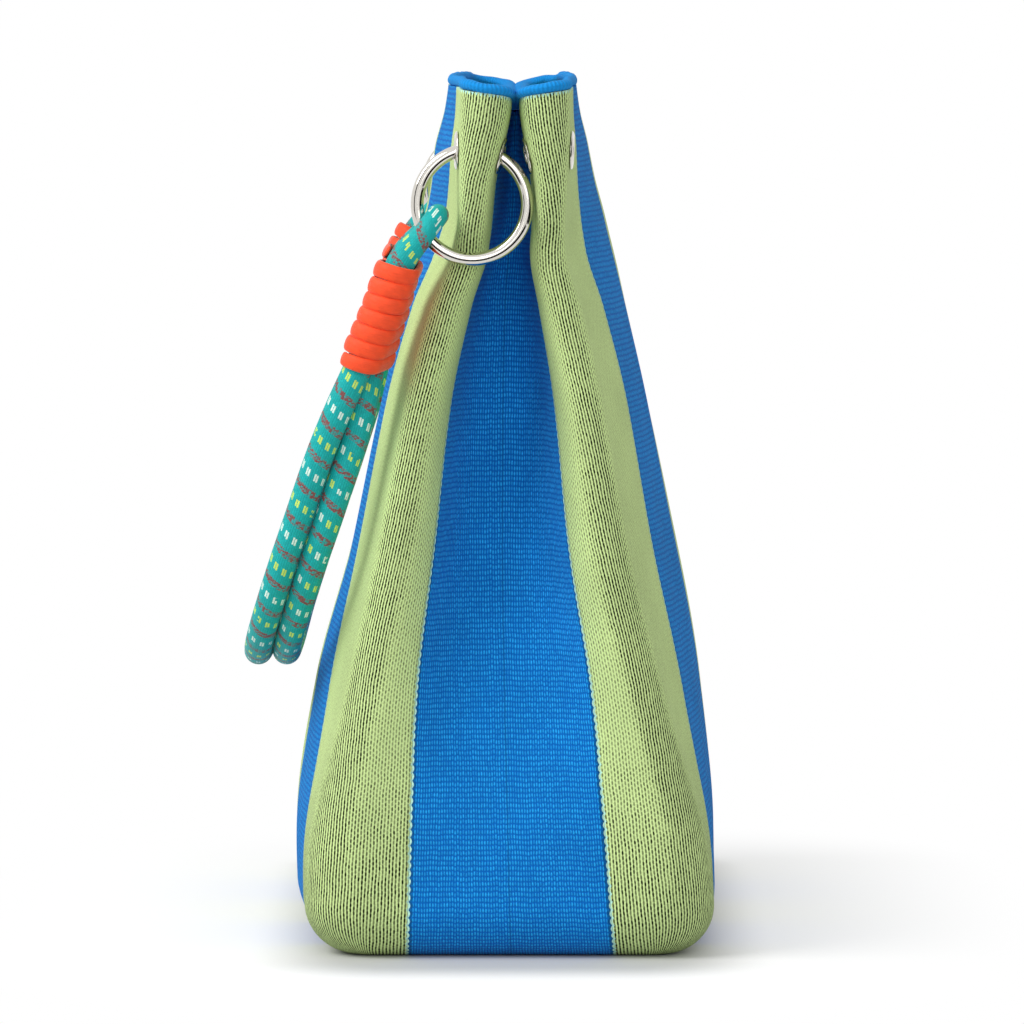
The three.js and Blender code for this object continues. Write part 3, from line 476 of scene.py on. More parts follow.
    def eyelet_seat(self, quadrant, on_gusset):
        """Place and outward direction of an eyelet, where the ring's wire crosses the front wall."""
        radius = self.trim.ring_radius
        first_try = 0.94
        z = self.ring_z + first_try * radius
        for _ in range(3):
            front = self.outline(self.knit_at_ring("front_right", on_gusset, z), z)
            middle = front[1] + (-1 if on_gusset else 1) * self.knit.wall / 2
            z = self.ring_z + math.sqrt(radius ** 2 - (middle - self.trim.ring_y) ** 2)
        s = self.knit_at_ring(quadrant, on_gusset, z)
        v = self.round_run + z - self.knit.bottom_round
        return Vector(self.wall_point(s, v)), Vector(self.wall_normal(np.array(s), np.array(v)))


def new_object(name, mesh, material):
    """A piece at the origin, with its mesh in place and its material."""
    piece = bpy.data.objects.new(name, mesh)
    bpy.context.scene.collection.objects.link(piece)
    mesh.materials.append(material)
    return piece


def new_mesh(name, points, faces, smooth):
    """A mesh from points and faces. smooth, one value or one a face, shades them round."""
    mesh = bpy.data.meshes.new(name)
    mesh.from_pydata(points, [], faces)
    mesh.polygons.foreach_set("use_smooth", np.ones(len(faces), dtype=bool) & smooth)
    mesh.update()
    return mesh


def set_run(mesh, name, values):
    """Stores the way along the knit or cord at each point, which the material reads."""
    layer = mesh.attributes.new(name, "FLOAT_COLOR", "POINT")
    layer.data.foreach_set("color", np.asarray(values, dtype=np.float32).ravel())


def tube_mesh(name, centres, across, up, half_across, half_up, sides, closed, roundness=1.0):
    """Tube along points. roundness under 1 squares the section towards a flat cord."""
    centres, across, up = (np.asarray(a, float) for a in (centres, across, up))
    count = len(centres)
    angle = 2 * math.pi * (np.arange(sides) + 0.5) / sides
    cos, sin = np.cos(angle), np.sin(angle)
    reach_a = np.sign(cos) * np.abs(cos) ** roundness
    reach_b = np.sign(sin) * np.abs(sin) ** roundness
    half_across = np.broadcast_to(half_across, count)[:, None, None]
    half_up = np.broadcast_to(half_up, count)[:, None, None]
    points = centres[:, None] + across[:, None] * reach_a[None, :, None] * half_across \
        + up[:, None] * reach_b[None, :, None] * half_up
    spans = count if closed else count - 1
    i, k = np.meshgrid(np.arange(spans), np.arange(sides), indexing="ij")
    ahead, after = (i + 1) % count, (k + 1) % sides
    quads = np.stack([i * sides + k, i * sides + after, ahead * sides + after, ahead * sides + k], -1)
    faces = quads.reshape(-1, 4).tolist()
    if not closed:
        faces.append(list(range(sides))[::-1])
        faces.append([(count - 1) * sides + k for k in range(sides)])
    return new_mesh(name, points.reshape(-1, 3).tolist(), faces, True)


def lathe_mesh(name, profile, place, axis, segments=56):
    """Closed profile of (radius, height) turned round an axis that stands at place."""
    turn = axis.to_track_quat("Z", "Y").to_matrix()
    points, faces = [], []
    count = len(profile)
    for k in range(segments):
        angle = 2 * math.pi * k / segments
        for radius, height in profile:
            point = Vector((radius * math.cos(angle), radius * math.sin(angle), height))
            points.append(place + turn @ point)
    for k in range(segments):
        after = (k + 1) % segments
        for i in range(count):
            j = (i + 1) % count
            faces.append((k * count + i, after * count + i, after * count + j, k * count + j))
    return new_mesh(name, points, faces, True)


def add_node(tree, kind, inputs=None, **settings):
    """Adds a node, sets it up and joins or fills its inputs."""
    node = tree.nodes.new(kind)
    for key, value in settings.items():
        setattr(node, key, value)
    for key, value in (inputs or {}).items():
        if isinstance(value, bpy.types.NodeSocket):
            tree.links.new(value, node.inputs[key])
        else:
            node.inputs[key].default_value = value
    return node


def new_material(name):
    """A node material without nodes, and its tree."""
    material = bpy.data.materials.new(name)
    material.use_nodes = True
    material.node_tree.nodes.clear()
    return material, material.node_tree


def cell_of(tree, value):
    """Number of the cell that a value falls in, and how far through the cell it is."""
    number = add_node(tree, "ShaderNodeMath", {0: value}, operation="FLOOR")
    part = add_node(tree, "ShaderNodeMath", {0: value}, operation="FRACT")
    return number.outputs[0], part.outputs[0]


def cell_chance(tree, column, row):
    """A value from 0 to 1 that is each cell's own."""
    key = add_node(tree, "ShaderNodeCombineXYZ", {0: column, 1: row})
    return add_node(tree, "ShaderNodeTexWhiteNoise", {"Vector": key.outputs[0]},
                    noise_dimensions="2D").outputs["Value"]


def from_middle(tree, across, along):
    """Way from the middle of a cell, in cells."""
    place = add_node(tree, "ShaderNodeCombineXYZ", {0: across, 1: along})
    return add_node(tree, "ShaderNodeVectorMath", {0: place.outputs[0], 1: (0.5, 0.5, 0)},
                    operation="SUBTRACT").outputs[0]


def oval_spot(tree, way, squeeze, solid, gone):
    """1 in the middle of a cell and 0 off the spot there. squeeze narrows the spot, which fades from
    the distance solid to the distance gone."""
    oval = add_node(tree, "ShaderNodeVectorMath", {0: way, 1: squeeze}, operation="MULTIPLY")
    reach = add_node(tree, "ShaderNodeVectorMath", {0: oval.outputs[0]}, operation="LENGTH")
    return add_node(tree, "ShaderNodeMapRange", {
        "Value": reach.outputs["Value"], "From Min": solid, "From Max": gone, "To Min": 1.0,
        "To Max": 0.0}, interpolation_type="SMOOTHSTEP").outputs[0]


def seen_directly(tree):
    """1 where a ray shows the camera something, mirrored or through glass too, and 0 where it
    lights something."""
    path = add_node(tree, "ShaderNodeLightPath")
    seen = add_node(tree, "ShaderNodeMath", {0: path.outputs["Is Camera Ray"],
                                             1: path.outputs["Is Glossy Ray"]}, operation="ADD")
    return add_node(tree, "ShaderNodeMath", {0: seen.outputs[0],
                                             1: path.outputs["Is Transmission Ray"]},
                    operation="ADD", use_clamp=True).outputs[0]


def dull_surface(tree, colour, tone, relief, strength, depth, finish):
    """A surface that isn't metal: tone makes its colour lighter or darker, relief raises it."""
    toned = add_node(tree, "ShaderNodeHueSaturation", {"Value": tone, "Color": colour})
    bump = add_node(tree, "ShaderNodeBump", {"Strength": strength, "Distance": depth,
                                             "Height": relief})
    surface = add_node(tree, "ShaderNodeBsdfPrincipled", {
        "Base Color": toned.outputs[0], "Normal": bump.outputs[0], **finish})
    add_node(tree, "ShaderNodeOutputMaterial", {"Surface": surface.outputs[0]})


def stitch_cells(tree, knit, flat, is_green):
    """The stitch that a point lies in, in level rows in the blue, and in the green with every other
    column half a stitch up: place in columns, way from the middle of the stitch, and its chance."""
    # stitches wander a little, as hand-fed yarn does: patches of 7 mm
    wander = add_node(tree, "ShaderNodeTexNoise", {"Vector": flat, "Scale": 140.0, "Detail": 1.0})
    centred = add_node(tree, "ShaderNodeVectorMath", {0: wander.outputs["Color"],
                                                      1: (0.5, 0.5, 0.5)}, operation="SUBTRACT")
    loose = add_node(tree, "ShaderNodeVectorMath", {0: centred.outputs[0], 1: (0.0007, 0.0009, 0),
                                                    2: flat}, operation="MULTIPLY_ADD")
    per_metre = add_node(tree, "ShaderNodeMix", {
        "Factor": is_green, "A": (1 / knit.blue_wale, 1 / knit.course_pitch, 0),
        "B": (1 / knit.green_wale, 1 / knit.course_pitch, 0)}, data_type="VECTOR")
    cells = add_node(tree, "ShaderNodeVectorMath", {0: loose.outputs[0], 1: per_metre.outputs[1]},
                     operation="MULTIPLY")
    cell = add_node(tree, "ShaderNodeSeparateXYZ", {0: cells.outputs[0]})
    column, across = cell_of(tree, cell.outputs[0])
    odd = add_node(tree, "ShaderNodeMath", {0: column, 1: 2.0}, operation="FLOORED_MODULO")
    offset_column = add_node(tree, "ShaderNodeMath", {0: odd.outputs[0], 1: is_green},
                             operation="MULTIPLY")
    raised_course = add_node(tree, "ShaderNodeMath", {
        0: offset_column.outputs[0], 1: 0.5, 2: cell.outputs[1]}, operation="MULTIPLY_ADD")
    # each column of stitches sits a little higher or lower than the next
    jog = add_node(tree, "ShaderNodeTexWhiteNoise", {"W": column}, noise_dimensions="1D")
    course = add_node(tree, "ShaderNodeMath", {
        0: jog.outputs["Value"], 1: 0.22, 2: raised_course.outputs[0]}, operation="MULTIPLY_ADD")
    row, along = cell_of(tree, course.outputs[0])
    return cell.outputs[0], from_middle(tree, across, along), cell_chance(tree, column, row)


def blue_stitches(tree, colours, way, chance):
    """Stitches of 1.06 by 2 mm: crowns a painted highlight, ground painted shade: colour, and the
    crown.
    """
    stitch_crown = oval_spot(tree, way, (2.3, 1.85, 0), 0.35, 1.05)
    grain_part = add_node(tree, "ShaderNodeMapRange", {
        "Value": chance, "From Min": 0.1, "From Max": 0.9, "To Min": 0.5, "To Max": 0.9})
    # crowns lighter over a darker ground: painted highlight and painted shade
    top = add_node(tree, "ShaderNodeMath", {0: stitch_crown, 1: grain_part.outputs[0]},
                   operation="MULTIPLY")
    blue = add_node(tree, "ShaderNodeMix", {"Factor": top.outputs[0], "A": tuple(colours.blue_gap_shade),
                                            "B": tuple(colours.blue)}, data_type="RGBA")
    return blue.outputs["Result"], stitch_crown


def green_stitches(tree, colours, column, way, chance, opened):
    """A hole in each stitch, 0.7 mm wide, that runs into the next one on a bend, painted dark as
    painted shade: colour, and the hole."""
    length = add_node(tree, "ShaderNodeMapRange", {"Value": opened, "From Min": 0.5,
                                                   "To Min": 2.5, "To Max": 1.45})
    squeeze = add_node(tree, "ShaderNodeCombineXYZ", {0: 3.1, 1: length.outputs[0]})
    shape = oval_spot(tree, way, squeeze.outputs[0], 0.6, 1.05)
    part = add_node(tree, "ShaderNodeMapRange", {"Value": chance, "To Min": 0.65, "To Max": 1.25})
    depth = add_node(tree, "ShaderNodeMath", {0: opened, 1: part.outputs[0]},
                     operation="MULTIPLY", use_clamp=True)
    hole = add_node(tree, "ShaderNodeMath", {0: shape, 1: depth.outputs[0]}, operation="MULTIPLY")
    # between two columns of holes the knit is painted lighter, a painted highlight on the wale, and
    # painted darker down the holes, a painted shade
    between = add_node(tree, "ShaderNodeMath", {0: column, 1: 0.5}, operation="PINGPONG")
    wale_highlight = add_node(tree, "ShaderNodeMapRange", {
        "Value": between.outputs[0], "From Min": 0.05, "From Max": 0.4, "To Min": 1.12,
        "To Max": 0.86})
    wale_highlighted = add_node(tree, "ShaderNodeHueSaturation", {"Value": wale_highlight.outputs[0],
                                                          "Color": tuple(colours.green)})
    # the holes are painted dark: painted shade
    green = add_node(tree, "ShaderNodeMix", {"Factor": hole.outputs[0], "A": wale_highlighted.outputs[0],
                                             "B": tuple(colours.green_hole_shade)}, data_type="RGBA")
    return green.outputs["Result"], hole.outputs[0]


def stripe_edge(tree, knit, stripe, is_green, v):
    """Way in metres from the scalloped border between two stripes, under 0 on its green side."""
    scallop_length, scallop_depth = 0.0031, 0.00065
    side = add_node(tree, "ShaderNodeMath", {0: is_green, 1: -2.0, 2: 1.0},
                    operation="MULTIPLY_ADD")
    nearest = add_node(tree, "ShaderNodeMath", {0: stripe}, operation="FRACT")
    other = add_node(tree, "ShaderNodeMath", {0: 1.0, 1: nearest.outputs[0]}, operation="SUBTRACT")
    least = add_node(tree, "ShaderNodeMath", {0: nearest.outputs[0], 1: other.outputs[0]},
                     operation="MINIMUM")
    distance = add_node(tree, "ShaderNodeMath", {0: least.outputs[0], 1: knit.stripe_width},
                        operation="MULTIPLY")
    signed = add_node(tree, "ShaderNodeMath", {0: distance.outputs[0], 1: side.outputs[0]},
                      operation="MULTIPLY")
    wave = add_node(tree, "ShaderNodeMath", {0: v, 1: math.pi / scallop_length},
                    operation="MULTIPLY")
    swing = add_node(tree, "ShaderNodeMath", {0: wave.outputs[0]}, operation="SINE")
    scallop = add_node(tree, "ShaderNodeMath", {0: swing.outputs[0]}, operation="ABSOLUTE")
    return add_node(tree, "ShaderNodeMath", {
        0: scallop.outputs[0], 1: -scallop_depth, 2: signed.outputs[0]},
        operation="MULTIPLY_ADD").outputs[0]


def double_knit_cotton(knit, colours):
    """Cotton double knit in stripes of two yarns: matte, small raised stitches in level rows in the
    blue, their crowns a painted highlight over painted shade, and offset rows of holes in the green,
    painted dark as painted shade, that open where the knit bends over a crest."""
    found = bpy.data.materials.get("cotton double knit")
    if found:
        return found
    highlight_middle, highlight_half = -0.00035, 0.00045
    shade_middle, shade_half, shade_depth = 0.0006, 0.0005, 0.75
    crease_shade_width, crease_shade_depth = 0.0014, 0.35
    tooth_pitch = 0.0018
    material, tree = new_material("cotton double knit")
    run = add_node(tree, "ShaderNodeAttribute", attribute_name="knit_run")
    split = add_node(tree, "ShaderNodeSeparateColor", {0: run.outputs["Color"]})
    s, v, opened = split.outputs[0], split.outputs[1], split.outputs[2]
    flat = add_node(tree, "ShaderNodeCombineXYZ", {0: s, 1: v})
    # stripes: even ones blue, odd ones green
    stripe = add_node(tree, "ShaderNodeMath", {0: s, 1: 1 / knit.stripe_width, 2: 0.5},
                      operation="MULTIPLY_ADD")
    number = add_node(tree, "ShaderNodeMath", {0: stripe.outputs[0]}, operation="FLOOR")
    odd = add_node(tree, "ShaderNodeMath", {0: number.outputs[0], 1: 2.0},
                   operation="FLOORED_MODULO")
    is_green = odd.outputs[0]
    column, way, chance = stitch_cells(tree, knit, flat.outputs[0], is_green)
    blue, stitch_crown = blue_stitches(tree, colours, way, chance)
    green, hole = green_stitches(tree, colours, column, way, chance, opened)
    edge = stripe_edge(tree, knit, stripe.outputs[0], is_green, v)
    in_blue = add_node(tree, "ShaderNodeMapRange", {"Value": edge, "From Min": -0.0001,
                                                    "From Max": 0.0001})
    striped = add_node(tree, "ShaderNodeMix", {"Factor": in_blue.outputs[0], "A": green,
                                               "B": blue}, data_type="RGBA")
    # a painted highlight, a pale line along the green side of the border, and painted shade along the
    # blue side
    on_highlight_line = add_node(tree, "ShaderNodeMath", {0: edge, 1: highlight_middle, 2: highlight_half},
                       operation="COMPARE")
    highlight_lined = add_node(tree, "ShaderNodeMix", {"Factor": on_highlight_line.outputs[0],
                                             "A": striped.outputs["Result"],
                                             "B": tuple(colours.border)}, data_type="RGBA")
    in_shade = add_node(tree, "ShaderNodeMath", {0: edge, 1: shade_middle, 2: shade_half},
                        operation="COMPARE")
    shade_part = add_node(tree, "ShaderNodeMath", {0: in_shade.outputs[0], 1: shade_depth},
                          operation="MULTIPLY")
    shaded = add_node(tree, "ShaderNodeMix", {"Factor": shade_part.outputs[0],
                                              "A": highlight_lined.outputs["Result"],
                                              "B": tuple(colours.border_shade)}, data_type="RGBA")
    # the gusset is pressed along its middle, where it folds: a faint dark line of painted shade in
    # the crease
    from_tuck = add_node(tree, "ShaderNodeMath", {0: s, 1: 3 * knit.stripe_width},
                         operation="PINGPONG")
    crease_shade = add_node(tree, "ShaderNodeMapRange", {
        "Value": from_tuck.outputs[0], "From Max": crease_shade_width / 2, "To Min": crease_shade_depth,
        "To Max": 0.0})
    crease_shaded = add_node(tree, "ShaderNodeMix", {"Factor": crease_shade.outputs[0],
                                               "A": shaded.outputs["Result"],
                                               "B": tuple(colours.border_shade)}, data_type="RGBA")
    # cast-on teeth of pale yarn under the rim
    tooth = add_node(tree, "ShaderNodeMath", {0: s, 1: tooth_pitch / 2}, operation="PINGPONG")
    tooth_edge = add_node(tree, "ShaderNodeMath", {0: tooth.outputs[0], 1: run.outputs["Alpha"]},
                          operation="GREATER_THAN")
    green_only = add_node(tree, "ShaderNodeMath", {0: tooth_edge.outputs[0], 1: is_green},
                          operation="MULTIPLY")
    toothed = add_node(tree, "ShaderNodeMix", {"Factor": green_only.outputs[0],
                                               "A": crease_shaded.outputs["Result"],
                                               "B": tuple(colours.border)}, data_type="RGBA")
    # dye and wear: patches of 35 mm, a few parts in a hundred lighter or darker
    patch = add_node(tree, "ShaderNodeTexNoise", {"Vector": flat.outputs[0], "Scale": 28.0,
                                                  "Detail": 2.0})
    tone = add_node(tree, "ShaderNodeMapRange", {"Value": patch.outputs["Fac"], "From Min": 0.3,
                                                 "From Max": 0.7, "To Min": 0.94, "To Max": 1.06})
    # single fibres and slubs in the yarn, about 0.6 mm
    fibre = add_node(tree, "ShaderNodeTexNoise", {"Vector": flat.outputs[0], "Scale": 1700.0,
                                                  "Detail": 2.0})
    fibre_tone = add_node(tree, "ShaderNodeMapRange", {
        "Value": fibre.outputs["Fac"], "From Min": 0.3, "From Max": 0.7, "To Min": 0.86,
        "To Max": 1.14})
    both = add_node(tree, "ShaderNodeMath", {0: tone.outputs[0], 1: fibre_tone.outputs[0]},
                    operation="MULTIPLY")
    # relief: blue stitches and the pale line stand up, green holes go down
    sunk = add_node(tree, "ShaderNodeMath", {0: 1.0, 1: hole}, operation="SUBTRACT")
    relief = add_node(tree, "ShaderNodeMix", {"Factor": in_blue.outputs[0], "A": sunk.outputs[0],
                                              "B": stitch_crown}, data_type="FLOAT")
    raised = add_node(tree, "ShaderNodeMath", {0: on_highlight_line.outputs[0], 1: 0.6,
                                               2: relief.outputs["Result"]},
                      operation="MULTIPLY_ADD")
    dull_surface(tree, toothed.outputs["Result"], both.outputs[0], raised.outputs[0], 0.6, 0.0004, {
        "Roughness": 0.92, "IOR": 1.5, "Specular IOR Level": 0.12, "Sheen Weight": 0.03,
        "Sheen Roughness": 0.5})
    return material


def rib_knit_binding(colours):
    """Cotton rib knit rolled over the edge: matte, with fine ribs across the roll and small
    stitches along them."""
    rib_width = 0.0016
    material, tree = new_material("cotton rib binding")
    run = add_node(tree, "ShaderNodeAttribute", attribute_name="rim_run")
    split = add_node(tree, "ShaderNodeSeparateColor", {0: run.outputs["Color"]})
    rib_run = add_node(tree, "ShaderNodeMath", {0: split.outputs[0], 1: 2 * math.pi / rib_width},
                       operation="MULTIPLY")
    rib_wave = add_node(tree, "ShaderNodeMath", {0: rib_run.outputs[0]}, operation="SINE")
    rib = add_node(tree, "ShaderNodeMapRange", {"Value": rib_wave.outputs[0], "From Min": -1.0})
    flat = add_node(tree, "ShaderNodeCombineXYZ", {0: split.outputs[0], 1: split.outputs[1]})
    # single stitches, about 0.9 mm
    stitch = add_node(tree, "ShaderNodeTexVoronoi", {"Vector": flat.outputs[0], "Scale": 1150.0})
    height = add_node(tree, "ShaderNodeMath", {0: stitch.outputs["Distance"], 1: -0.7,
                                               2: rib.outputs[0]}, operation="MULTIPLY_ADD")
    # darker where the ribs and stitches are low and lighter where high: painted shade and painted
    # highlight
    tone = add_node(tree, "ShaderNodeMapRange", {"Value": height.outputs[0], "From Min": -0.4,
                                                 "From Max": 1.0, "To Min": 0.84, "To Max": 1.08})
    dull_surface(tree, tuple(colours.rim), tone.outputs[0], height.outputs[0], 0.5, 0.0005, {
        "Roughness": 0.9, "IOR": 1.5, "Specular IOR Level": 0.15, "Sheen Weight": 0.03,
        "Sheen Roughness": 0.5})
    return material


def polished_nickel(colours):
    """Nickel plate, buffed: a clear warm-grey mirror with faint waves from the buffing wheel."""
    found = bpy.data.materials.get("polished nickel plate")
    if found:
        return found
    material, tree = new_material("polished nickel plate")
    place = add_node(tree, "ShaderNodeTexCoord")
    # buffing leaves waves a few millimetres long and far less than a hundredth deep
    waves = add_node(tree, "ShaderNodeTexNoise", {"Vector": place.outputs["Object"], "Scale": 260.0,
                                                  "Detail": 1.0})
    bump = add_node(tree, "ShaderNodeBump", {"Strength": 0.06, "Distance": 0.0003,
                                             "Height": waves.outputs["Fac"]})
    # fingerprints and dust dull it a little in places
    smears = add_node(tree, "ShaderNodeTexNoise", {"Vector": place.outputs["Object"], "Scale": 70.0,
                                                   "Detail": 3.0})
    rough = add_node(tree, "ShaderNodeMapRange", {"Value": smears.outputs["Fac"], "From Min": 0.35,
                                                  "From Max": 0.7, "To Min": 0.07, "To Max": 0.14})
    surface = add_node(tree, "ShaderNodeBsdfPrincipled", {
        "Base Color": tuple(colours.nickel), "Metallic": 1.0, "Roughness": rough.outputs[0],
        "Normal": bump.outputs[0]})
    add_node(tree, "ShaderNodeOutputMaterial", {"Surface": surface.outputs[0]})
    return material


def tracer_dashes(tree, yarn, in_yarn, in_repeat, chance):
    """Light dashes 3 mm long on two yarns out of every four, with one in thirty left out."""
    in_row = add_node(tree, "ShaderNodeMath", {0: in_repeat, 1: 0.25, 2: 0.108},
                      operation="COMPARE")
    four = add_node(tree, "ShaderNodeMath", {0: yarn, 1: 4.0}, operation="FLOORED_MODULO")
    paired = add_node(tree, "ShaderNodeMath", {0: four.outputs[0], 1: 1.5}, operation="LESS_THAN")
    mid_yarn = add_node(tree, "ShaderNodeMath", {0: in_yarn, 1: 0.5, 2: 0.41},
                        operation="COMPARE")
    kept = add_node(tree, "ShaderNodeMath", {0: chance, 1: 0.03}, operation="GREATER_THAN")
    dash = in_row.outputs[0]
    for condition in (paired, mid_yarn, kept):
        dash = add_node(tree, "ShaderNodeMath", {0: dash, 1: condition.outputs[0]},
                        operation="MULTIPLY").outputs[0]
    return dash


def brown_row(tree, yarn, along, in_repeat):
    """Brown row, 3 mm wide, mottled in specks."""
    speck_length = 0.0006
    in_brown = add_node(tree, "ShaderNodeMath", {0: in_repeat, 1: 0.75, 2: 0.11},
                        operation="COMPARE")
    specks = add_node(tree, "ShaderNodeMath", {0: along, 1: 1 / speck_length}, operation="MULTIPLY")
    speck = add_node(tree, "ShaderNodeMath", {0: specks.outputs[0]}, operation="FLOOR")
    mottle = add_node(tree, "ShaderNodeMapRange", {
        "Value": cell_chance(tree, yarn, speck.outputs[0]), "From Min": 0.25, "From Max": 0.6,
        "To Min": 0.1, "To Max": 0.95})
    return add_node(tree, "ShaderNodeMath", {0: in_brown.outputs[0], 1: mottle.outputs[0]},
                    operation="MULTIPLY").outputs[0]


def braided_polyester(colours):
    """Polyester cover braided over a core: a soft gloss, with tracer yarns that come up in slanting
    rows, pairs of short pale or lime dashes first and a thin mottled brown row after them."""
    yarn_count, repeat_length, pick_length = 36, 0.0138, 0.00125
    material, tree = new_material("braided polyester rope")
    run = add_node(tree, "ShaderNodeAttribute", attribute_name="rope_run")
    split = add_node(tree, "ShaderNodeSeparateColor", {0: run.outputs["Color"]})
    along = split.outputs[0]
    angle = add_node(tree, "ShaderNodeMath", {0: split.outputs[2], 1: split.outputs[1]},
                     operation="ARCTAN2")
    # every row winds once round the rope in a repeat
    yarns = add_node(tree, "ShaderNodeMath", {0: angle.outputs[0], 1: yarn_count / 2 / math.pi,
                                              2: yarn_count / 2}, operation="MULTIPLY_ADD")
    yarn, in_yarn = cell_of(tree, yarns.outputs[0])
    step = add_node(tree, "ShaderNodeMath", {0: yarn, 1: 1 / yarn_count}, operation="MULTIPLY")
    phase = add_node(tree, "ShaderNodeMath", {0: along, 1: 1 / repeat_length, 2: step.outputs[0]},
                     operation="MULTIPLY_ADD")
    repeat, in_repeat = cell_of(tree, phase.outputs[0])
    # single picks of the braid, each yarn half a pick on from the last
    odd = add_node(tree, "ShaderNodeMath", {0: yarn, 1: 2.0}, operation="FLOORED_MODULO")
    shift = add_node(tree, "ShaderNodeMath", {0: odd.outputs[0], 1: 0.5}, operation="MULTIPLY")
    picks = add_node(tree, "ShaderNodeMath", {0: along, 1: 1 / pick_length, 2: shift.outputs[0]},
                     operation="MULTIPLY_ADD")
    pick, in_pick = cell_of(tree, picks.outputs[0])
    crown = oval_spot(tree, from_middle(tree, in_yarn, in_pick), (1.8, 1.5, 0), 0.5, 1.15)
    chance = cell_chance(tree, yarn, pick)
    dash = tracer_dashes(tree, yarn, in_yarn, in_repeat, chance)
    # every other row is lime
    lime_turn = add_node(tree, "ShaderNodeMath", {0: repeat, 1: 2.0}, operation="FLOORED_MODULO")
    dash_colour = add_node(tree, "ShaderNodeMix", {"Factor": lime_turn.outputs[0],
                                                   "A": tuple(colours.rope_white),
                                                   "B": tuple(colours.rope_lime)},
                           data_type="RGBA")
    brown = brown_row(tree, yarn, along, in_repeat)
    # ground: each pick a little lighter or darker, and painted shade in the gaps between them
    pick_tone = add_node(tree, "ShaderNodeMapRange", {"Value": chance, "To Min": 0.9,
                                                      "To Max": 1.08})
    painted_gap_shade = add_node(tree, "ShaderNodeMapRange", {"Value": crown, "To Min": 0.78,
                                                     "To Max": 1.0})
    tone = add_node(tree, "ShaderNodeMath", {0: pick_tone.outputs[0], 1: painted_gap_shade.outputs[0]},
                    operation="MULTIPLY")
    browned = add_node(tree, "ShaderNodeMix", {"Factor": brown, "A": tuple(colours.rope),
                                               "B": tuple(colours.rope_brown)}, data_type="RGBA")
    dashed = add_node(tree, "ShaderNodeMix", {"Factor": dash, "A": browned.outputs["Result"],
                                              "B": dash_colour.outputs["Result"]},
                      data_type="RGBA")
    raised = add_node(tree, "ShaderNodeMath", {0: dash, 1: 0.4, 2: crown},
                      operation="MULTIPLY_ADD")
    dull_surface(tree, dashed.outputs["Result"], tone.outputs[0], raised.outputs[0], 0.4, 0.0003, {
        "Roughness": 0.6, "IOR": 1.55, "Specular IOR Level": 0.25, "Sheen Weight": 0.04,
        "Sheen Roughness": 0.4})
    return material


def flat_braid_cord(colours):
    """Flat nylon braid pulled tight: a dull sheen, with fine yarns along it that slant to and fro."""
    material, tree = new_material("flat nylon braid")
    run = add_node(tree, "ShaderNodeAttribute", attribute_name="cord_run")
    split = add_node(tree, "ShaderNodeSeparateColor", {0: run.outputs["Color"]})
    flat = add_node(tree, "ShaderNodeCombineXYZ", {0: split.outputs[0], 1: split.outputs[1]})
    # yarns 0.45 mm wide that wander along the braid
    stretched = add_node(tree, "ShaderNodeVectorMath", {0: flat.outputs[0], 1: (260, 2200, 0)},
                         operation="MULTIPLY")
    yarns = add_node(tree, "ShaderNodeTexNoise", {"Vector": stretched.outputs[0], "Scale": 1.0,
                                                  "Detail": 2.0})
    slant = add_node(tree, "ShaderNodeTexWave", {"Vector": flat.outputs[0], "Scale": 110.0,
                                                 "Distortion": 3.0, "Detail": 1.0,
                                                 "Detail Scale": 3.0},
                     bands_direction="DIAGONAL")
    height = add_node(tree, "ShaderNodeMath", {0: slant.outputs["Fac"], 1: 0.35,
                                               2: yarns.outputs["Fac"]}, operation="MULTIPLY_ADD")
    # darker where the yarns lie low and lighter where high: painted shade and painted highlight
    tone = add_node(tree, "ShaderNodeMapRange", {"Value": height.outputs[0], "From Min": 0.35,
                                                 "From Max": 0.95, "To Min": 0.9, "To Max": 1.06})
    dull_surface(tree, tuple(colours.whipping), tone.outputs[0], height.outputs[0], 0.35, 0.0003, {
        "Roughness": 0.6, "IOR": 1.53, "Specular IOR Level": 0.35, "Sheen Weight": 0.2,
        "Sheen Roughness": 0.4})
    return material


def greyboard(colours):
    """Pressed grey board: dull, with flecks of waste paper about 1 mm across."""
    material, tree = new_material("pressed greyboard")
    place = add_node(tree, "ShaderNodeTexCoord")
    flecks = add_node(tree, "ShaderNodeTexNoise", {"Vector": place.outputs["Object"],
                                                   "Scale": 900.0, "Detail": 3.0})
    tone = add_node(tree, "ShaderNodeMapRange", {"Value": flecks.outputs["Fac"], "From Min": 0.3,
                                                 "From Max": 0.7, "To Min": 0.85, "To Max": 1.15})
    dull_surface(tree, tuple(colours.board), tone.outputs[0], flecks.outputs["Fac"], 0.15, 0.0001, {
        "Roughness": 0.9, "IOR": 1.5})
    return material


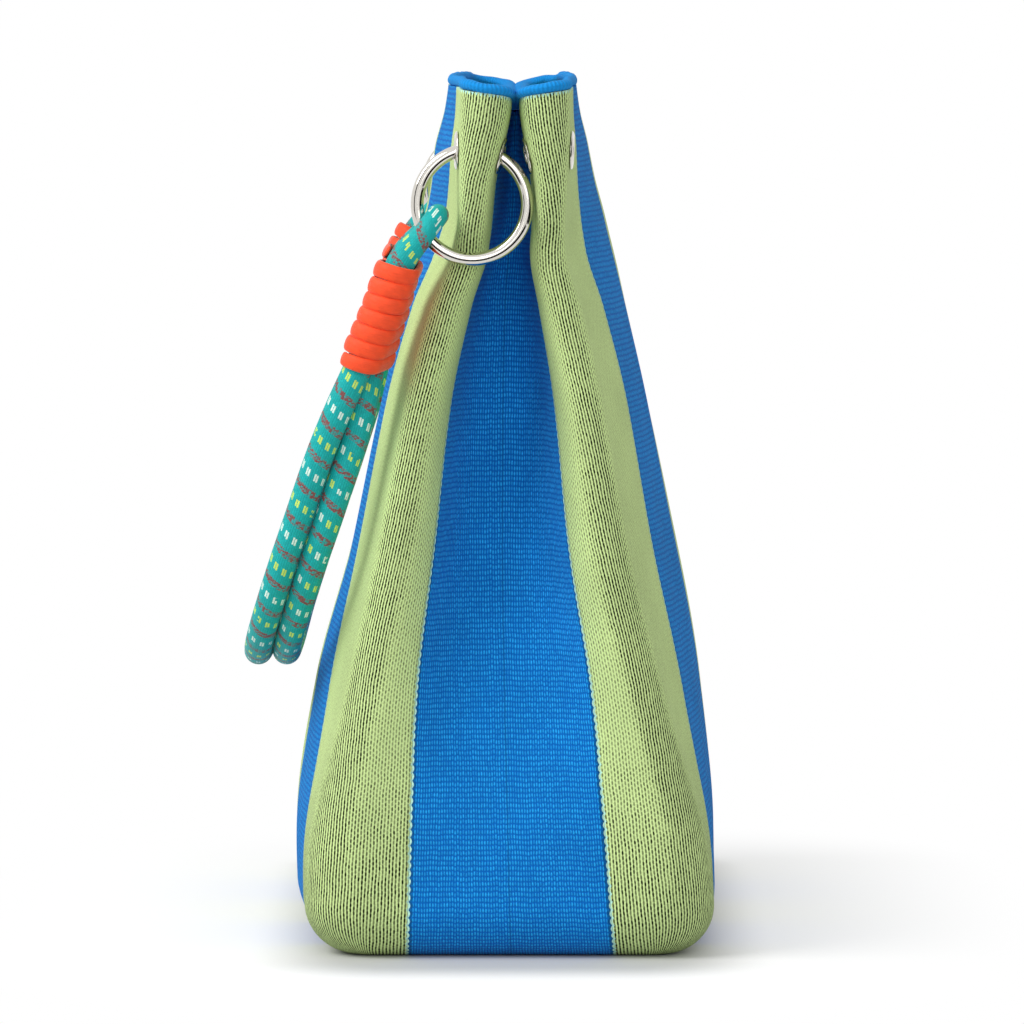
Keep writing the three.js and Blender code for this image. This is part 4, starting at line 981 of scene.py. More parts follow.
def backdrop_paper(stage, core, colours):
    """Matte white studio paper: it keeps the soft shadow near the bag, deepened by a painted shadow
    where it glows less there, and runs out to plain white.
    core is half the length and width of the strip under the bag that its shadow is deepest round."""
    material, tree = new_material("white studio paper")
    seen = seen_directly(tree)
    place = add_node(tree, "ShaderNodeTexCoord")
    flat = add_node(tree, "ShaderNodeVectorMath", {0: place.outputs["Object"], 1: (1, 1, 0)},
                    operation="MULTIPLY")
    # distance from the strip
    either_side = add_node(tree, "ShaderNodeVectorMath", {0: flat.outputs[0]}, operation="ABSOLUTE")
    off_core = add_node(tree, "ShaderNodeVectorMath", {0: either_side.outputs[0], 1: core},
                        operation="SUBTRACT")
    beyond = add_node(tree, "ShaderNodeVectorMath", {0: off_core.outputs[0], 1: (0, 0, 0)},
                      operation="MAXIMUM")
    distance = add_node(tree, "ShaderNodeVectorMath", {0: beyond.outputs[0]}, operation="LENGTH")
    # the paper glows less near the bag: a painted shadow round the base, over its real shadow
    lift = add_node(tree, "ShaderNodeMapRange", {
        "Value": distance.outputs["Value"], "From Min": stage.lift_start,
        "From Max": stage.lift_end, "To Max": stage.lift}, interpolation_type="SMOOTHSTEP")
    fade = add_node(tree, "ShaderNodeMapRange", {
        "Value": distance.outputs["Value"], "From Min": stage.fade_start,
        "From Max": stage.fade_end}, interpolation_type="SMOOTHSTEP")
    glow_with_painted_shadow = add_node(tree, "ShaderNodeMath", {0: seen, 1: lift.outputs[0]}, operation="MULTIPLY")
    paper = add_node(tree, "ShaderNodeBsdfDiffuse", {"Color": tuple(colours.paper)})
    glow = add_node(tree, "ShaderNodeEmission", {"Strength": glow_with_painted_shadow.outputs[0]})
    near = add_node(tree, "ShaderNodeAddShader", {0: paper.outputs[0], 1: glow.outputs[0]})
    white = add_node(tree, "ShaderNodeEmission", {"Strength": 1.0})
    far_part = add_node(tree, "ShaderNodeMath", {0: fade.outputs[0], 1: seen}, operation="MULTIPLY")
    shown = add_node(tree, "ShaderNodeMixShader", {0: far_part.outputs[0], 1: near.outputs[0],
                                                   2: white.outputs[0]})
    add_node(tree, "ShaderNodeOutputMaterial", {"Surface": shown.outputs[0]})
    return material


def flag_felt(colours):
    """Black felt of a studio flag: no gloss, a little uneven where its nap lies."""
    material, tree = new_material("black flag felt")
    place = add_node(tree, "ShaderNodeTexCoord")
    # nap brushed in patches of 15 cm
    nap = add_node(tree, "ShaderNodeTexNoise", {"Vector": place.outputs["Object"], "Scale": 7.0})
    tone = add_node(tree, "ShaderNodeMapRange", {"Value": nap.outputs["Fac"], "To Min": 0.7,
                                                 "To Max": 1.3})
    toned = add_node(tree, "ShaderNodeHueSaturation", {"Value": tone.outputs[0],
                                                       "Color": tuple(colours.flag)})
    surface = add_node(tree, "ShaderNodeBsdfDiffuse", {"Color": toned.outputs[0]})
    add_node(tree, "ShaderNodeOutputMaterial", {"Surface": surface.outputs[0]})
    return material


def tote_form():
    """The bag's form from the sizes set in the scene."""
    scene = bpy.context.scene
    return KnitForm(scene.tote_knit, scene.tote_trim)


def finish_piece(piece, body, slot, *nodes):
    """Rides the piece on its body and stands it in for its CAD nodes."""
    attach(piece, body)
    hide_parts(*nodes)
    return piece


def eyelet_places(form):
    """Seat and outward direction of each of the eight eyelets."""
    places = []
    for quadrant in QUADRANTS:
        for place, on_gusset in (("outer", False), ("inner", True)):
            point, normal = form.eyelet_seat(quadrant, on_gusset)
            places.append((f"{place}_{quadrant}", point, normal))
    return places


class ToteStage(bpy.types.PropertyGroup):
    """Camera, lights and floor."""
    distance: size("Camera distance", "From the point that the camera looks at", 2.75)
    aim_y: size("Aim across", "Point that the camera looks at, across the bag", 0.0004)
    aim_z: size("Aim height", "Point that the camera looks at, above the ground", 0.1731)
    elevation: FloatProperty(name="Elevation", description="Camera above level",
                             default=math.radians(3.9), subtype="ANGLE")
    lens: FloatProperty(name="Lens", description="Focal length in millimetres", default=252.4,
                        min=10.0)
    key: FloatProperty(name="Key light", description="Power of the large soft light on the left",
                       default=46.0, min=0.0, unit="POWER")
    fill: FloatProperty(name="Fill light", description="Power of the soft light by the camera",
                        default=16.0, min=0.0, unit="POWER")
    room: share("Room light", "Light from all round", 0.6)
    floor: size("Floor", "Radius of the paper", 14.0)
    core_depth: size("Shadow core", "Width of the strip under the bag that shadow is deepest round",
                     0.09)
    # near the bag less light is added to the paper: a painted shadow round the base
    lift: share("Paper lift", "Light added to the paper round the bag", 0.44)
    lift_start: size("Lift start", "From the strip to where light is first added", 0.015)
    lift_end: size("Lift end", "From the strip to where all of it is added", 0.06)
    fade_start: size("Fade start", "From the strip to where the paper turns to plain white", 0.03)
    fade_end: size("Fade end", "From the strip to where all is plain white", 0.17)


# Side and place of the soft lights
KEY_WIDTH, KEY_PLACE = 1.6, Vector((1.0, -1.9, 1.8))
FILL_WIDTH, FILL_PLACE = 1.4, Vector((2.6, 0.3, 1.0))

# From the near end of the bag in to the point that the camera looks at
AIM_SETBACK = 0.014

# Corners of the dark panels round the camera, X from the near end of the bag
FLAGS = {
    "flag_left": ((0.7, -1.5, 0.02), (0.7, -0.8, 0.02), (0.7, -0.8, 1.5), (0.7, -1.5, 1.5)),
    "flag_right": ((0.9, 0.7, 0.02), (-0.1, 0.7, 0.02), (-0.1, 0.7, 1.2), (0.9, 0.7, 1.2)),
    "flag_low": ((0.3, -0.6, 0.03), (1.1, -0.6, 0.03), (1.1, 0.6, 0.03), (0.3, 0.6, 0.03)),
}


class MESH_OT_tote_stage(bpy.types.Operator):
    """Set the camera, the soft lights and the white paper floor"""
    bl_idname = "mesh.tote_stage"
    bl_label = "Stage"

    def execute(self, context):
        scene = context.scene
        stage = scene.tote_stage
        scene.view_settings.view_transform = "Standard"
        near_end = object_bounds()[1].x
        aim = Vector((near_end - AIM_SETBACK, stage.aim_y, stage.aim_z))
        self.look(scene, aim)
        self.lamp("key_light", stage.key, KEY_WIDTH, KEY_PLACE, aim)
        self.lamp("fill_light", stage.fill, FILL_WIDTH, FILL_PLACE, aim)
        self.room(scene)
        self.paper(scene)
        self.flags(near_end, scene.tote_colours)
        return {"FINISHED"}

    def look(self, scene, aim):
        """The camera, off the near end of the bag and a little above level."""
        stage = scene.tote_stage
        away = Vector((math.cos(stage.elevation), 0, math.sin(stage.elevation)))
        camera = bpy.data.objects.new("camera", bpy.data.cameras.new("camera"))
        camera.data.lens = stage.lens
        camera.data.clip_end = 100
        camera.location = aim + away * stage.distance
        camera.rotation_euler = (-away).to_track_quat("-Z", "Y").to_euler()
        scene.collection.objects.link(camera)
        scene.camera = camera

    def room(self, scene):
        """Even light from all round, and plain white where the camera sees past the paper."""
        scene.world = bpy.data.worlds.new("studio")
        scene.world.use_nodes = True
        tree = scene.world.node_tree
        tree.nodes.clear()
        level = add_node(tree, "ShaderNodeMapRange", {
            "Value": seen_directly(tree), "To Min": scene.tote_stage.room, "To Max": 1.0})
        sky = add_node(tree, "ShaderNodeBackground", {"Color": (1, 1, 1, 1),
                                                      "Strength": level.outputs[0]})
        add_node(tree, "ShaderNodeOutputWorld", {"Surface": sky.outputs[0]})

    def lamp(self, name, power, width, place, aim):
        """A soft square light turned towards the bag."""
        light = bpy.data.lights.new(name, "AREA")
        light.shape = "SQUARE"
        light.size = width
        light.energy = power
        lamp = bpy.data.objects.new(name, light)
        lamp.location = place
        lamp.rotation_euler = (aim - place).to_track_quat("-Z", "Y").to_euler()
        bpy.context.scene.collection.objects.link(lamp)

    def flags(self, near_end, colours):
        """Dark panels round the camera, there only for the polished metal to mirror."""
        material = flag_felt(colours)
        for name, corners in FLAGS.items():
            corners = [(near_end + x, y, z) for x, y, z in corners]
            flag = new_object(name, new_mesh(name, corners, [(0, 1, 2, 3)], False), material)
            flag.visible_camera = False
            flag.visible_diffuse = False
            flag.visible_transmission = False
            flag.visible_shadow = False
            flag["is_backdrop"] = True

    def paper(self, scene):
        """Round floor of paper, its rings closer to each other near the bag."""
        stage = scene.tote_stage
        core = (scene.tote_knit.base_length / 2, stage.core_depth / 2, 0)
        material = backdrop_paper(stage, core, scene.tote_colours)
        rings, sides = 24, 96
        points, faces = [(0.0, 0.0, 0.0)], []
        for ring in range(1, rings + 1):
            radius = stage.floor * (ring / rings) ** 2
            for k in range(sides):
                angle = 2 * math.pi * k / sides
                points.append((radius * math.cos(angle), radius * math.sin(angle), 0.0))
        for k in range(sides):
            faces.append((0, 1 + k, 1 + (k + 1) % sides))
        for ring in range(rings - 1):
            for k in range(sides):
                a, b = 1 + ring * sides + k, 1 + ring * sides + (k + 1) % sides
                faces.append((a, a + sides, b + sides, b))
        mesh = new_mesh("paper_floor", points, faces, False)
        new_object("paper_floor", mesh, material)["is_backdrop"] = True


def cells_off_bores(points, bores, radius):
    """Which faces of a grid of points lie clear of the eyelet bores."""
    own_depth = 0.006  # along a bore, beyond which the knit belongs to another wall
    keep = np.ones((points.shape[0] - 1, points.shape[1] - 1), dtype=bool)
    middle = (points[:-1, :-1] + points[1:, :-1] + points[1:, 1:] + points[:-1, 1:]) / 4
    for place, axis in bores:
        away = middle - place
        depth = away @ axis
        reach = np.linalg.norm(away - depth[..., None] * axis, axis=-1)
        keep &= (reach > radius) | (np.abs(depth) > own_depth)
    return keep


def round_the_bores(points, keep, bores, radius):
    """Moves the points at the edge of each bore onto its circle."""
    own_reach, own_depth = 0.011, 0.008  # round and along a bore, within which an edge is its own
    padded = np.ones((keep.shape[0] + 2, keep.shape[1] + 2), dtype=bool)
    padded[1:-1, 1:-1] = keep
    near = np.stack([padded[:-1, :-1], padded[1:, :-1], padded[1:, 1:], padded[:-1, 1:]])
    edge = near.any(0) & ~near.all(0)
    for place, axis in bores:
        away = points - place
        depth = away @ axis
        sideways = away - depth[..., None] * axis
        reach = np.linalg.norm(sideways, axis=-1, keepdims=True)
        mine = edge & (reach[..., 0] < own_reach) & (np.abs(depth) < own_depth)
        moved = place + depth[..., None] * axis + sideways / np.maximum(reach, 1e-6) * radius
        points[mine] = moved[mine]
    return points


def knit_shell(name, outer, inner, keep, run):
    """Closed shell between two grids of points, open where keep is False."""
    columns, rows = outer.shape[:2]
    half = columns * rows
    index = np.arange(half).reshape(columns, rows)
    quads = np.stack([index[:-1, :-1], index[:-1, 1:], index[1:, 1:], index[1:, :-1]], -1)[keep]
    faces = [quads, quads[:, ::-1] + half]
    padded = np.zeros((columns + 1, rows + 1), dtype=bool)
    padded[1:-1, 1:-1] = keep
    sides = (
        (padded[1:-1, 1:-1] & ~padded[:-2, 1:-1], index[:-1, :-1], index[:-1, 1:]),
        (padded[1:-1, 1:-1] & ~padded[1:-1, 2:], index[:-1, 1:], index[1:, 1:]),
        (padded[1:-1, 1:-1] & ~padded[2:, 1:-1], index[1:, 1:], index[1:, :-1]),
        (padded[1:-1, 1:-1] & ~padded[1:-1, :-2], index[1:, :-1], index[:-1, :-1]),
    )
    for open_side, first, second in sides:
        a, b = first[open_side], second[open_side]
        faces.append(np.stack([b, a, a + half, b + half], -1))
    faces = np.concatenate(faces)
    used, faces = np.unique(faces, return_inverse=True)
    faces = faces.reshape(-1, 4)
    points = np.concatenate([outer.reshape(-1, 3), inner.reshape(-1, 3)])[used]
    values = np.concatenate([run.reshape(-1, 4)] * 2)[used]
    is_wall = np.arange(len(faces)) < 2 * len(quads)
    mesh = new_mesh(name, points.tolist(), faces.tolist(), is_wall)
    set_run(mesh, "knit_run", values)
    return mesh


def softness(form, s, v):
    """How far the knit hangs in from its form: slow waves that die out at rim, base and eyelets."""
    hang, least = 0.0007, 0.8
    eyelets_passed, free_below, free_above = 0.075, 0.135, 0.05
    turn = 2 * math.pi * s / form.girth
    # each wave: times round the bag, radians to a metre up the knit, and where it starts
    waves = 0.5 * np.sin(5 * turn + 14 * v + 0.6) * np.sin(21 * v + 1.1) \
        + 0.3 * np.sin(11 * turn - 9 * v + 2.1) + 0.2 * np.sin(23 * turn + 38 * v)
    below_rim = ramp(form.top_run(s) - v, eyelets_passed, free_below)
    above_base = ramp(v - form.round_run, 0, free_above)
    return -hang * (least + waves) * below_rim * above_base


# Cast-on teeth under the rim: gap between two at the edge, and how fast they narrow below it
TOOTH_GAP = 0.0004
TOOTH_SLANT = 0.5


class MESH_OT_tote_body(bpy.types.Operator):
    """Knit the twelve stripes of the body, tucked in at both ends"""
    bl_idname = "mesh.tote_body"
    bl_label = "Knitted body"

    def execute(self, context):
        knit, trim = context.scene.tote_knit, context.scene.tote_trim
        form = tote_form()
        material = double_knit_cotton(knit, context.scene.tote_colours)
        bores = [(np.array(point), np.array(normal)) for _, point, normal in eyelet_places(form)]
        hole = trim.barrel / 2 + trim.seam_gap
        columns = 1 + round(knit.stripe_width / knit.mesh_step)
        rows = 1 + round(form.top_run(0) / knit.mesh_step)
        for i, name in enumerate(STRIPES):
            s = knit.stripe_width * (i - 0.5 + np.linspace(0, 1, columns))
            share_up = np.linspace(0, 1, rows)
            s_grid = np.repeat(s[:, None], rows, 1)
            v_grid = share_up[None, :] * form.top_run(s)[:, None]
            outer = form.wall_point(s_grid, v_grid)
            normal = form.wall_normal(s_grid, v_grid)
            outer = outer + normal * softness(form, s_grid, v_grid)[..., None]
            inner = outer - normal * knit.wall
            keep = cells_off_bores(outer, bores, hole)
            if not keep.all():
                outer = round_the_bores(outer, keep, bores, hole)
                inner = round_the_bores(inner, keep, bores, hole)
            below_edge = form.top_run(s)[:, None] - v_grid
            half_gap = TOOTH_GAP / 2 + below_edge * TOOTH_SLANT
            run = np.stack([s_grid, v_grid, form.openness(s_grid, np.maximum(outer[..., 2], 0)),
                            half_gap], -1)
            piece = new_object(f"knit_{name}", knit_shell(name, outer, inner, keep, run), material)
            slot = "blue_knit" if name.endswith("blue") else "green_knit"
            finish_piece(piece, "bag", slot, name)
        return {"FINISHED"}


class MESH_OT_tote_base(bpy.types.Operator):
    """Make the knitted base and finish the board inside it"""
    bl_idname = "mesh.tote_base"
    bl_label = "Base"

    def execute(self, context):
        knit, trim = context.scene.tote_knit, context.scene.tote_trim
        form = tote_form()
        inset = knit.bottom_round + trim.seam_gap
        half_way = 600
        s = np.linspace(0, form.girth, 2 * half_way + 1)
        edge = form.outline(s, 0.0) - form.outline_normal(s, 0.0) * inset
        front, back = edge[:half_way + 1], edge[half_way:]
        reach = min(front[:, 0].max(), back[:, 0].max())
        columns, rows = 141, 61
        x = reach * np.sin(np.linspace(-math.pi / 2, math.pi / 2, columns))
        y_front = np.interp(x, np.sort(front[:, 0]), front[np.argsort(front[:, 0]), 1])
        y_back = np.interp(x, np.sort(back[:, 0]), back[np.argsort(back[:, 0]), 1])
        across = np.linspace(0, 1, rows)
        y = y_front[:, None] + (y_back - y_front)[:, None] * across
        low = np.stack([np.repeat(x[:, None], rows, 1), y, np.zeros((columns, rows))], -1)
        high = low + np.array([0, 0, knit.wall])
        closed, no_teeth = 0.1, 1.0
        run = np.stack([low[..., 0], low[..., 1], np.full((columns, rows), closed),
                        np.full((columns, rows), no_teeth)], -1)
        keep = np.ones((columns - 1, rows - 1), dtype=bool)
        mesh = knit_shell("knit_base", low, high, keep, run)
        material = double_knit_cotton(knit, context.scene.tote_colours)
        finish_piece(new_object("knit_base", mesh, material), "bag", "blue_knit", "base_panel")
        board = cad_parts["base_board"]
        board.data.materials.clear()
        board.data.materials.append(greyboard(context.scene.tote_colours))
        return {"FINISHED"}


class MESH_OT_tote_rim(bpy.types.Operator):
    """Roll the blue binding round the mouth"""
    bl_idname = "mesh.tote_rim"
    bl_label = "Rim binding"

    def execute(self, context):
        knit, trim = context.scene.tote_knit, context.scene.tote_trim
        form = tote_form()
        count, sides = 620, 20
        s = form.girth * np.arange(count) / count
        z = form.top_edge(s) + trim.seam_gap + trim.rim_height / 2
        flat = form.outline_normal(s, z)
        centre = form.outline(s, z) - flat * knit.wall / 2
        turn = 2 * math.pi * s / form.girth
        # the hand-guided seam puckers every 10 to 25 mm
        pucker = 0.5 * np.sin(37 * turn + 0.4) + 0.3 * np.sin(61 * turn + 1.7) \
            + 0.2 * np.sin(89 * turn)
        # in the tuck both sides of the roll are pressed wide against each other
        widened, free_from, pressed_to = 0.0013, 0.085, 0.065
        pressed = widened * ramp(form.from_tuck(s), free_from, pressed_to)
        sunk, puckered, narrowed, flattened = 0.0004, 0.0003, 0.05, 0.04
        centres = np.concatenate([centre, (z - sunk + puckered * pucker)[:, None]], 1)
        across = np.concatenate([flat, np.zeros((count, 1))], 1)
        up = np.repeat([[0.0, 0.0, 1.0]], count, 0)
        mesh = tube_mesh("rolled_binding", centres, across, up,
                         trim.rim_width / 2 * (1 - narrowed * pucker) + pressed,
                         trim.rim_height / 2 * (1 - flattened + flattened * pucker), sides, True)
        around = np.tile(np.arange(sides) / sides * math.pi * trim.rim_height, (count, 1))
        along = np.repeat(s[:, None], sides, 1)
        set_run(mesh, "rim_run", np.stack([along, around, 0 * along, 0 * along + 1], -1))
        piece = new_object("rolled_binding", mesh, rib_knit_binding(context.scene.tote_colours))
        finish_piece(piece, "bag", "rim_binding", "rim_binding")
        return {"FINISHED"}


def arc_profile(radius, height, reach, rise, start, end, steps):
    """Points of a rounded corner of a turned profile, angles in degrees."""
    angles = np.radians(np.linspace(start, end, steps))
    return [(radius + reach * math.cos(a), height + rise * math.sin(a)) for a in angles]


class MESH_OT_tote_eyelets(bpy.types.Operator):
    """Turn the eight eyelets and the washers behind them"""
    bl_idname = "mesh.tote_eyelets"
    bl_label = "Eyelets"

    def execute(self, context):
        knit, trim = context.scene.tote_knit, context.scene.tote_trim
        material = polished_nickel(context.scene.tote_colours)
        lip_bottom = -(knit.wall + trim.washer_seat + trim.washer_thickness + trim.seam_gap
                       + trim.lip_thickness)
        bore, barrel, flange, lip = trim.bore / 2, trim.barrel / 2, trim.flange / 2, trim.lip / 2
        dome = (flange - bore) / 2
        mouth, roll = 0.0004, 0.0003  # rounding of the bore's lower edge, and of the lip's edge
        profile = arc_profile(bore + dome, trim.seam_gap, dome, trim.crown, 0, 180, 17)
        profile += [(bore, lip_bottom + mouth)]
        profile += arc_profile(bore + mouth, lip_bottom + mouth, mouth, mouth, 200, 270, 4)
        profile += [(lip - roll, lip_bottom)]
        profile += arc_profile(lip - roll, lip_bottom + trim.lip_thickness / 2, roll,
                               trim.lip_thickness / 2, -60, 90, 6)
        profile += [(barrel, lip_bottom + trim.lip_thickness), (barrel, trim.seam_gap)]
        top = -(knit.wall + trim.washer_seat)
        inner, outer = barrel + trim.seam_gap, trim.washer / 2
        edge, at_hole = trim.washer_thickness / 2, 0.9  # a little thinner at the hole
        ring = [(inner, top - 2 * edge * at_hole), (outer - edge, top - 2 * edge)]
        ring += arc_profile(outer - edge, top - edge, edge, edge, -90, 90, 7)
        ring += [(inner, top)]
        for name, point, normal in eyelet_places(tote_form()):
            mesh = lathe_mesh(f"eyelet_{name}", profile[::-1], point, normal)
            piece = new_object(f"turned_eyelet_{name}", mesh, material)
            finish_piece(piece, "bag", "nickel", f"eyelet_{name}")
            mesh = lathe_mesh(f"washer_{name}", ring, point, normal)
            piece = new_object(f"turned_washer_{name}", mesh, material)
            finish_piece(piece, "bag", "nickel", f"washer_{name}")
        return {"FINISHED"}


class MESH_OT_tote_rings(bpy.types.Operator):
    """Bend the two wire rings"""
    bl_idname = "mesh.tote_rings"
    bl_label = "Rings"

    def execute(self, context):
        trim = context.scene.tote_trim
        form = tote_form()
        material = polished_nickel(context.scene.tote_colours)
        count, sides = 120, 28
        for name, sign in (("ring_right", 1), ("ring_left", -1)):
            angle = 2 * math.pi * np.arange(count) / count
            out = np.stack([0 * angle, np.cos(angle), np.sin(angle)], -1)
            centres = np.array([sign * form.ring_plane, trim.ring_y, form.ring_z]) \
                + trim.ring_radius * out
            across = np.repeat([[1.0, 0.0, 0.0]], count, 0)
            mesh = tube_mesh(f"wire_{name}", centres, across, out, trim.ring_wire / 2,
                             trim.ring_wire / 2, sides, True)
            finish_piece(new_object(f"wire_{name}", mesh, material), name, "nickel", name)
        return {"FINISHED"}


class HandleForm:
    """The doubled rope's middle line, from the right ring to the middle of the bag."""

    def __init__(self, form, handle):
        self.handle = handle
        trim = form.trim
        self.contact = np.array([
            form.ring_plane, trim.ring_y - trim.ring_radius * math.sin(CONTACT_ANGLE),
            form.ring_z - trim.ring_radius * math.cos(CONTACT_ANGLE)])
        stops = []
        for i, (out, off, drop, _) in enumerate(HANDLE_ROUTE):
            z = self.contact[2] - drop
            y = self.contact[1] if i == 0 else -form.half_depth(z) - off
            stops.append([self.contact[0] * out, y, z])
        stops = np.array(stops, float)
        per_span = 60
        self.points = self.through(stops, per_span)
        lengths = np.linalg.norm(np.diff(self.points, axis=0), axis=1)
        self.runs = np.concatenate([[0], np.cumsum(lengths)])
        self.half_length = self.runs[-1]
        self.roll_runs = self.runs[::per_span]
        self.rolls = [roll for _, _, _, roll in HANDLE_ROUTE]
        self.headings = np.gradient(self.points, self.runs, axis=0)
        self.headings /= np.linalg.norm(self.headings, axis=1, keepdims=True)
        self.eye_half = trim.ring_wire / 2 + handle.eye_gap + handle.rope_at_ring / 2

    def through(self, stops, per_span):
        """Smooth curve through the stops, with its speed set by the distances between them."""
        before, after = 2 * stops[0] - stops[1], 2 * stops[-1] - stops[-2]
        all_stops = np.concatenate([[before], stops, [after]])
        points = []
        for i in range(len(stops) - 1):
            p0, p1, p2, p3 = all_stops[i:i + 4]
            d0, d1, d2 = (np.linalg.norm(b - a) ** 0.5 for a, b in ((p0, p1), (p1, p2), (p2, p3)))
            t1 = ((p1 - p0) / d0 - (p2 - p0) / (d0 + d1) + (p2 - p1) / d1) * d1
            t2 = ((p2 - p1) / d1 - (p3 - p1) / (d1 + d2) + (p3 - p2) / d2) * d1
            t = (np.arange(per_span) / per_span)[:, None]
            points.append(p1 + t1 * t + (3 * (p2 - p1) - 2 * t1 - t2) * t ** 2
                          + (2 * (p1 - p2) + t1 + t2) * t ** 3)
        return np.concatenate(points + [stops[-1:]])

    def frame_at(self, run):
        """Middle, heading and the way from the inner strand to the outer one."""
        run = np.asarray(run, float)
        centre = np.stack([np.interp(run, self.runs, self.points[:, k]) for k in range(3)], -1)
        heading = np.stack([np.interp(run, self.runs, self.headings[:, k]) for k in range(3)], -1)
        heading /= np.linalg.norm(heading, axis=-1, keepdims=True)
        forward = np.array([0.0, -1.0, 0.0]) + heading * heading[..., 1:2]
        forward /= np.linalg.norm(forward, axis=-1, keepdims=True)
        outward = np.cross(forward, heading)
        roll = np.radians(smooth(self.roll_runs, self.rolls, run))[..., None]
        return centre, heading, outward * np.cos(roll) + forward * np.sin(roll)

    def strand(self, run, sign):
        """Middle of a strand, 1 the outer and -1 the one nearer the bag, and its radius."""
        centre, _, pair = self.frame_at(run)
        part = np.minimum(run / self.handle.whipping_start, 1)
        spacing = 2 * self.eye_half + (self.handle.rope_pitch - 2 * self.eye_half) * part
        radius = (self.handle.rope_at_ring
                  + (self.handle.rope - self.handle.rope_at_ring) * part) / 2
        return centre + pair * (sign * spacing / 2)[..., None], radius

    def rope(self):
        """Path and radius of the one rope, from the butt in the right whipping and back to it."""
        handle = self.handle
        step, eye_steps = 0.0015, 21
        butt = handle.whipping_start + 0.5 * handle.turns * handle.whipping_pitch
        down = np.arange(0, self.half_length, step)
        up = down[::-1]
        flip = np.array([-1, 1, 1])
        angle = np.linspace(0, math.pi, eye_steps + 1)[1:-1]
        eye_out = np.array([0, math.sin(EYE_LEAN), math.cos(EYE_LEAN)])
        eye = self.contact + np.array([1, 0, 0]) * (self.eye_half * np.cos(angle))[:, None] \
            + eye_out * (handle.eye_reach * np.sin(angle))[:, None]
        at_ring = np.full(len(angle), handle.rope_at_ring / 2)
        legs = [
            self.strand(down[down > butt + handle.butt_gap], -1),
            tuple(a * b for a, b in zip(self.strand(up, -1), (flip, 1))),
            (eye[::-1] * flip, at_ring),
            tuple(a * b for a, b in zip(self.strand(down, 1), (flip, 1))),
            self.strand(up, 1),
            (eye, at_ring),
            self.strand(down[down < butt], -1),
        ]
        path = np.concatenate([points for points, _ in legs])
        radius = np.concatenate([radii for _, radii in legs])
        return self.evened(path, radius, step)

    def evened(self, path, radius, step):
        """The path at even steps, eased where its legs meet, since a stiff rope has no corners."""
        lengths = np.concatenate([[0], np.cumsum(np.linalg.norm(np.diff(path, axis=0), axis=1))])
        at = np.linspace(0, lengths[-1], 1 + round(lengths[-1] / step))
        values = np.stack([np.interp(at, lengths, column) for column in (*path.T, radius)], -1)
        weights = np.array([1, 3, 4, 3, 1]) / 12
        for _ in range(2):
            padded = np.pad(values, ((2, 2), (0, 0)), mode="edge")
            eased = sum(w * padded[k:k + len(values)] for k, w in enumerate(weights))
            values[2:-2] = eased[2:-2]
        return values[:, :3], values[:, 3]

    def winding(self, steps):
        """Middle line of the whipping cord, with the ways out from the rope and along it, at a
        number of steps to a turn."""
        handle = self.handle
        straight = handle.rope_pitch
        bend = handle.rope / 2 + handle.cord_clearance + handle.cord_thickness / 2
        loop = 2 * straight + 2 * math.pi * bend
        turn = np.arange(handle.turns * steps + 1) / steps
        run = handle.whipping_start + handle.cord_width / 2 + turn * handle.whipping_pitch
        centre, heading, pair = self.frame_at(run)
        side = np.cross(heading, pair)
        side /= np.linalg.norm(side, axis=-1, keepdims=True)
        along = np.mod(turn, 1) * loop
        half_bend = math.pi * bend
        leg = np.searchsorted([straight, straight + half_bend, 2 * straight + half_bend], along,
                              side="left")
        first = np.where(leg == 0, straight / 2 - along, 0)
        angle_a = (along - straight) / bend
        third = along - straight - half_bend - straight / 2
        angle_b = (along - 2 * straight - half_bend) / bend
        pair_part = np.select([leg == 0, leg == 1, leg == 2, leg == 3],
                              [first, 0 * first - straight / 2, third, 0 * first + straight / 2])
        out_pair = np.select([leg == 1, leg == 3], [-np.sin(angle_a), np.sin(angle_b)], 0.0)
        out_side = np.select([leg == 0, leg == 1, leg == 2, leg == 3],
                             [1 + 0 * first, np.cos(angle_a), -1 + 0 * first, -np.cos(angle_b)])
        outward = side * out_side[:, None] + pair * out_pair[:, None]
        return centre + pair * pair_part[:, None] + outward * bend, outward, heading


